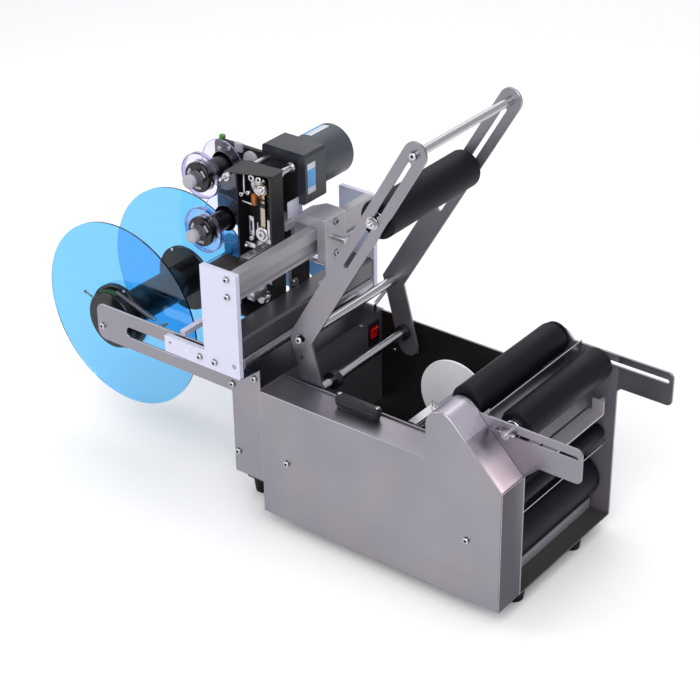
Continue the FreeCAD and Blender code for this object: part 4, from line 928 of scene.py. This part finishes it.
class LABELER_OT_reel(bpy.types.Operator):
    """Label reel's core: brake drum, near flange, tube and far flange in one turned piece"""
    bl_idname = "labeler.reel"
    bl_label = "Reel core"

    def execute(self, context):
        bm = bmesh.new()
        steps = [(16.5, 6.2), (16.5, 43.8), (17.7, 45), (31.5, 45), (31.5, 51.3), (32.7, 52.5), (40.3, 52.5),
                 (41.5, 51.3), (41.5, 27), (185.5, 27), (185.5, 52.8), (186.7, 54), (190.3, 54), (191.5, 52.8),
                 (191.5, 20), (203.5, 20), (204, 19), (204, 6.2), (16.5, 6.2)]
        spin_profile(bm, place(REEL_AXIS[0], 0, REEL_AXIS[1]), ACROSS, steps, 96)
        finish_piece(bm, "turned_core", "label_reel", "black_gloss", 30, "reel_core")
        return {"FINISHED"}


class LABELER_OT_ribbon_reels(bpy.types.Operator):
    """Ribbon reels: a clear dish and disc with violet rims, a black slotted hub, a grey collar and a pale knob"""
    bl_idname = "labeler.ribbon_reels"
    bl_label = "Ribbon reels"

    def execute(self, context):
        rim = sizes().rim / MM
        lip = 86 + sizes().dish / MM
        for label, x, z in RIBBON_AXES:
            body = label + "_ribbon"
            centre = place(x, 0, z)
            discs, rims, hub, slots, collar, knob = [bmesh.new() for _ in range(6)]
            spin_profile(discs, centre, ACROSS, [(86, 23), (86, 35 - rim), (88, 35 - rim), (88, 24), (lip, 24),
                                                 (lip, 23), (86, 23)], 64)
            spin_profile(discs, centre, ACROSS, [(136, 15), (136, 39 - rim), (138, 39 - rim), (138, 15),
                                                 (136, 15)], 64)
            for y, radius in ((86.0, 35), (136.0, 39)):
                spin_profile(rims, centre, ACROSS, [(y, radius - rim), (y, radius - 0.2), (y + 0.3, radius),
                                                    (y + 1.7, radius), (y + 2, radius - 0.2), (y + 2, radius - rim),
                                                    (y, radius - rim)], 64)
            washer(rims, x, z, 88.2, lip, 35, 33.6, 64)
            spin_profile(hub, centre, ACROSS, [(80, 0), (80, 21.8), (81, 22.8), (lip - 0.5, 22.8), (lip - 0.5, 15),
                                               (136, 15), (136, 20), (138.2, 20), (138.2, 5), (184, 5), (184, 0)], 48)
            soft_box(slots, (x + 13.2, 79.3, z - 5.4), (x + 17.4, 80.4, z + 5.4), 0.3)
            bmesh.ops.rotate(slots, cent=centre, matrix=Matrix.Rotation(math.radians(-35), 3, "Y"),
                             verts=slots.verts)
            bmesh.ops.spin(slots, geom=slots.faces[:] + slots.edges[:] + slots.verts[:], cent=centre, axis=ACROSS,
                           angle=math.radians(240), steps=2, use_duplicate=True)
            spin_profile(collar, centre, ACROSS, [(68, 0), (68, 9.4), (70, 11), (78, 11), (80, 12), (80, 0)], 8)
            spin_profile(knob, centre, ACROSS, [(59, 0), (59, 8.6), (60.2, 10), (68, 10), (68, 0)], 32)
            for bm, part, finish, slot, angle in (
                (discs, "discs", "ribbon", "clear_violet", 35),
                (rims, "rims", "edge", "clear_violet", 35),
                (hub, "hub", "black_gloss", "black_plastic", 35),
                (slots, "slots", "knob", "white_plastic", 35),
                (collar, "collar", "collar", "black_plastic", 20),
                (knob, "knob", "knob", "white_plastic", 50),
            ):
                finish_piece(bm, body + "_" + part, body, finish, angle, body + "_reel")
        return {"FINISHED"}


class LABELER_OT_coder_works(bpy.types.Operator):
    """Bearings, guide plates, insulator and nuts on the open face of the coder"""
    bl_idname = "labeler.coder_works"
    bl_label = "Coder works"

    def execute(self, context):
        bm = bmesh.new()
        washer(bm, -514, 468, 116, 126, 5.4, 2.6)
        washer(bm, -498, 470.5, 113, 118.4, 4.8, 2.2)
        for x, z in ((-533, 438), (-520.5, 443.5), (-517, 372)):
            washer(bm, x, z, 114.5, 119, 3.4, 1.6, 20)
        soft_box(bm, (-528.6, 115.2, 441), (-526, 117, 471), 0.4)
        soft_box(bm, (-533, 117, 425), (-512, 119, 428), 0.4)
        soft_box(bm, (-522, 117, 376), (-512.6, 119, 407), 0.5)
        soft_box(bm, (-488, 117.6, 377), (-483.4, 120, 409), 0.5)
        soft_box(bm, (-526, 113, 358), (-508, 121, 366), 0.8)
        stud(bm, -522, 362, 108, 113, 2.6, 16)
        washer(bm, -534, 476, 84, 90, 6.4, 3.0)
        stud(bm, -534, 476, 72, 94, 2.4, 16)
        for y in (146, 173.4):
            washer(bm, -488, 470, y, y + 3.4, 7.6, 5.0)
        finish_piece(bm, "coder_bearings", "carriage", "zinc")
        bm = bmesh.new()
        # Painted shade: a thin dark plate stands in for the shade inside the slot
        soft_box(bm, (-519, 116.7, 384), (-515.4, 117.1, 400), 0.1)
        finish_piece(bm, "coder_plate_slot", "carriage", "socket")
        bm = bmesh.new()
        spin_profile(bm, place(-507, 0, 438), ACROSS, [(129, 0), (129, 11), (130.5, 12.5), (139, 12.5), (139, 0)], 4)
        soft_box(bm, (-513, 113.4, 427), (-505.4, 118.2, 445), 1.2)
        finish_piece(bm, "coder_insulator", "carriage", "resin")
        bm = bmesh.new()
        washer(bm, -499, 452, 119, 121.5, 7.4, 4.0)
        stud(bm, -499, 452, 116.6, 120, 3.6)
        finish_piece(bm, "crank_pin_nut", "crank", "zinc")
        bm = bmesh.new()
        soft_box(bm, (-504.4, 120.7, 423), (-493.6, 127.8, 430), 0.8)
        soft_box(bm, (-503.6, 120.9, 434), (-494.4, 127.8, 437), 0.6)
        finish_piece(bm, "rod_clamp", "rod", "black")
        bm = bmesh.new()
        washer(bm, -500.17, 381, 119, 121.4, 11.5, 3.5)
        washer(bm, -500.17, 381, 116.4, 119, 7.6, 3.2, 6)
        finish_piece(bm, "head_pin_nut", "printer", "zinc")
        bm = bmesh.new()
        spin_profile(bm, place(-484.3, 171, 287.5), FORWARD, [(0, 0), (0, 6.6), (1.6, 6.6), (1.6, 4), (5.4, 4),
                                                              (5.4, 0)], 24)
        spin_profile(bm, place(-487, 165, 251), UP, [(0, 0), (0, 1.8), (92, 1.8), (92, 0)], 14)
        soft_box(bm, (-490, 160, 262), (-485, 170, 268), 0.6)
        stud(bm, -490, 286, 99, 117.8, 6.5, 24)
        washer(bm, -490, 286, 108, 112, 8.6, 6.0)
        soft_box(bm, (-498, 78, 294), (-484, 108, 310), 1.2)
        finish_piece(bm, "print_bed_hardware", "carriage", "zinc")
        return {"FINISHED"}


class LABELER_OT_coder_case(bpy.types.Operator):
    """Top cover plate, corner bolts, plain bands and small fittings of the coder"""
    bl_idname = "labeler.coder_case"
    bl_label = "Coder case"

    def execute(self, context):
        bm = bmesh.new()
        for x in (-541, -477):
            for z in (418, 482):
                button(bm, place(x, 232, z), ACROSS, 0.5, 4.5, 3.8, 0.8)
        for x, z in ((-492, 472), (-624, 465), (-604, 470), (-624, 352), (-560, 352)):
            socket_head(bm, place(x, 177, z), -ACROSS, 3.4, 3.0, 3.6)
        finish_piece(bm, "coder_bolts", "carriage", ("zinc", "socket"))
        bm = bmesh.new()
        extruded(bm, ((-544, 92, 478.2), (-476, 119, 478.2), (-477, 146, 478.2), (-547, 140, 478.2)), UP * 1.4)
        finish_piece(bm, "coder_cover", "carriage", "coder_top")
        bm = bmesh.new()
        spin_profile(bm, place(-564, 172.6, 462), ACROSS, [(0, 0), (0, 12.4), (0.6, 13), (4.2, 13), (4.2, 0)], 40)
        soft_box(bm, (-591, 171, 470), (-578, 176.8, 484), 0.8)
        finish_piece(bm, "coder_dial", "carriage", "knob", 50)
        bm = bmesh.new()
        spin_profile(bm, place(-622, 180.5, 478), UP, [(-0.2, 0), (-0.2, 3), (2, 3), (2, 5), (6, 5), (6.8, 4),
                                                       (6.8, 0)], 24)
        finish_piece(bm, "coder_top_button", "carriage", "green", 50)
        bm = bmesh.new()
        soft_box(bm, (-484.2, 159, 395), (-482.6, 192, 421), 0.3)
        finish_piece(bm, "coder_side_tab", "carriage", "anodised")
        bm = bmesh.new()
        soft_box(bm, (-469.2, 189, 427), (-468.6, 207, 474), 0.2)
        finish_piece(bm, "gearbox_band", "carriage", "band")
        bm = bmesh.new()
        centre = place(-509, 0, 450)
        verts = [bm.verts.new(place(-509, y, 489.2)) for y in (246, 290)]
        edge = bm.edges.new(verts)
        bmesh.ops.rotate(bm, cent=centre, matrix=Matrix.Rotation(math.radians(-31), 3, "Y"), verts=verts)
        bmesh.ops.spin(bm, geom=verts + [edge], cent=centre, axis=ACROSS, angle=math.radians(34), steps=12,
                       use_merge=False)
        bmesh.ops.solidify(bm, geom=bm.faces[:], thickness=0.0002)
        finish_piece(bm, "motor_band", "carriage", "band", 50)
        return {"FINISHED"}


class LABELER_OT_fittings(bpy.types.Operator):
    """Rocker bezel, step strip, reel bolts, handle screws and winder clip loop"""
    bl_idname = "labeler.fittings"
    bl_label = "Small fittings"

    def execute(self, context):
        bm = bmesh.new()
        for y0, z0, y1, z1 in ((256.6, 161.4, 259.8, 194.6), (278.2, 161.4, 281.4, 194.6),
                               (256.6, 158.4, 281.4, 161.6), (256.6, 194.4, 281.4, 197.6)):
            soft_box(bm, (-413.2, y0, z0), (-410.6, y1, z1), 0.5)
        finish_piece(bm, "rocker_bezel", "frame", "plastic")
        bm = bmesh.new()
        soft_box(bm, (-31.2, 56, 2.2), (-30.2, 287.5, 19.8), 0.2)
        finish_piece(bm, "tray_step_strip", "frame", "step")
        bm = bmesh.new()
        stud(bm, -11, 124, 54.6, 291.8, 0.9, 12)
        finish_piece(bm, "guide_wire", "frame", "zinc")
        bm = bmesh.new()
        root = place(-765, 25, 236)
        lean = (place(-781, 25, 240.9) - root).normalized()
        spin_profile(bm, root, lean, [(0, 0), (0, 1.5), (13, 1.5), (13.4, 2.4), (16, 2.4), (16.6, 1.6),
                                      (16.6, 0)], 16)
        finish_piece(bm, "strap_pin", "frame", "dark_shaft")
        bm = bmesh.new()
        for y, side, x, z in ((185.5, -1, -743, 257), (31.6, -1, -702, 261)):
            button(bm, place(x, y, z), ACROSS * side, 0.4, 2.6, 2.2, 0.6)
        finish_piece(bm, "reel_flange_bolts", "label_reel", "zinc")
        bm = bmesh.new()
        for x in (-297, -231):
            spin_profile(bm, place(x, 36, 227.4), UP, [(-0.4, 0), (-0.4, 3.4), (0.8, 3.4), (1.2, 2.8), (1.2, 1.4),
                                                       (0.2, 1.4), (0.2, 0)], 20)
        finish_piece(bm, "handle_screws", "frame", "zinc")
        bm = bmesh.new()
        soft_box(bm, (-297, 29, 205.9), (-231, 43, 211.4), 1.2)
        finish_piece(bm, "handle_foot", "frame", "handle")
        bm = bmesh.new()
        wire_ring(bm, place(-214, 148.5, 184), ACROSS, 4.4, 1.4)
        washer(bm, -214, 168, 86, 93, 11, 8.0)
        finish_piece(bm, "winder_clip_loop", "winder", "zinc")
        return {"FINISHED"}


CHORES = (
    LABELER_OT_stage,
    LABELER_OT_finishes,
    LABELER_OT_sheets,
    LABELER_OT_screws,
    LABELER_OT_springs,
    LABELER_OT_rollers,
    LABELER_OT_rail,
    LABELER_OT_reel,
    LABELER_OT_ribbon_reels,
    LABELER_OT_coder_works,
    LABELER_OT_coder_case,
    LABELER_OT_fittings,
)


class LABELER_PT_sidebar(bpy.types.Panel):
    """Lists the labeling machine's operators"""
    bl_idname = "LABELER_PT_sidebar"
    bl_label = "Labeling machine"
    bl_space_type = "VIEW_3D"
    bl_region_type = "UI"
    bl_category = "Labeler"

    def draw(self, context):
        for chore in CHORES:
            self.layout.operator(chore.bl_idname)


CLASSES = (LabelerColours, LabelerSizes) + CHORES + (LABELER_PT_sidebar,)


def register():
    for item in CLASSES:
        bpy.utils.register_class(item)
    bpy.types.Scene.labeler_colours = bpy.props.PointerProperty(type=LabelerColours)
    bpy.types.Scene.labeler_sizes = bpy.props.PointerProperty(type=LabelerSizes)


def unregister():
    del bpy.types.Scene.labeler_sizes
    del bpy.types.Scene.labeler_colours
    for item in reversed(CLASSES):
        bpy.utils.unregister_class(item)


def main():
    register()
    for chore in CHORES:
        group, name = chore.bl_idname.split(".")
        getattr(getattr(bpy.ops, group), name)()


if __name__ == "__main__":
    main()
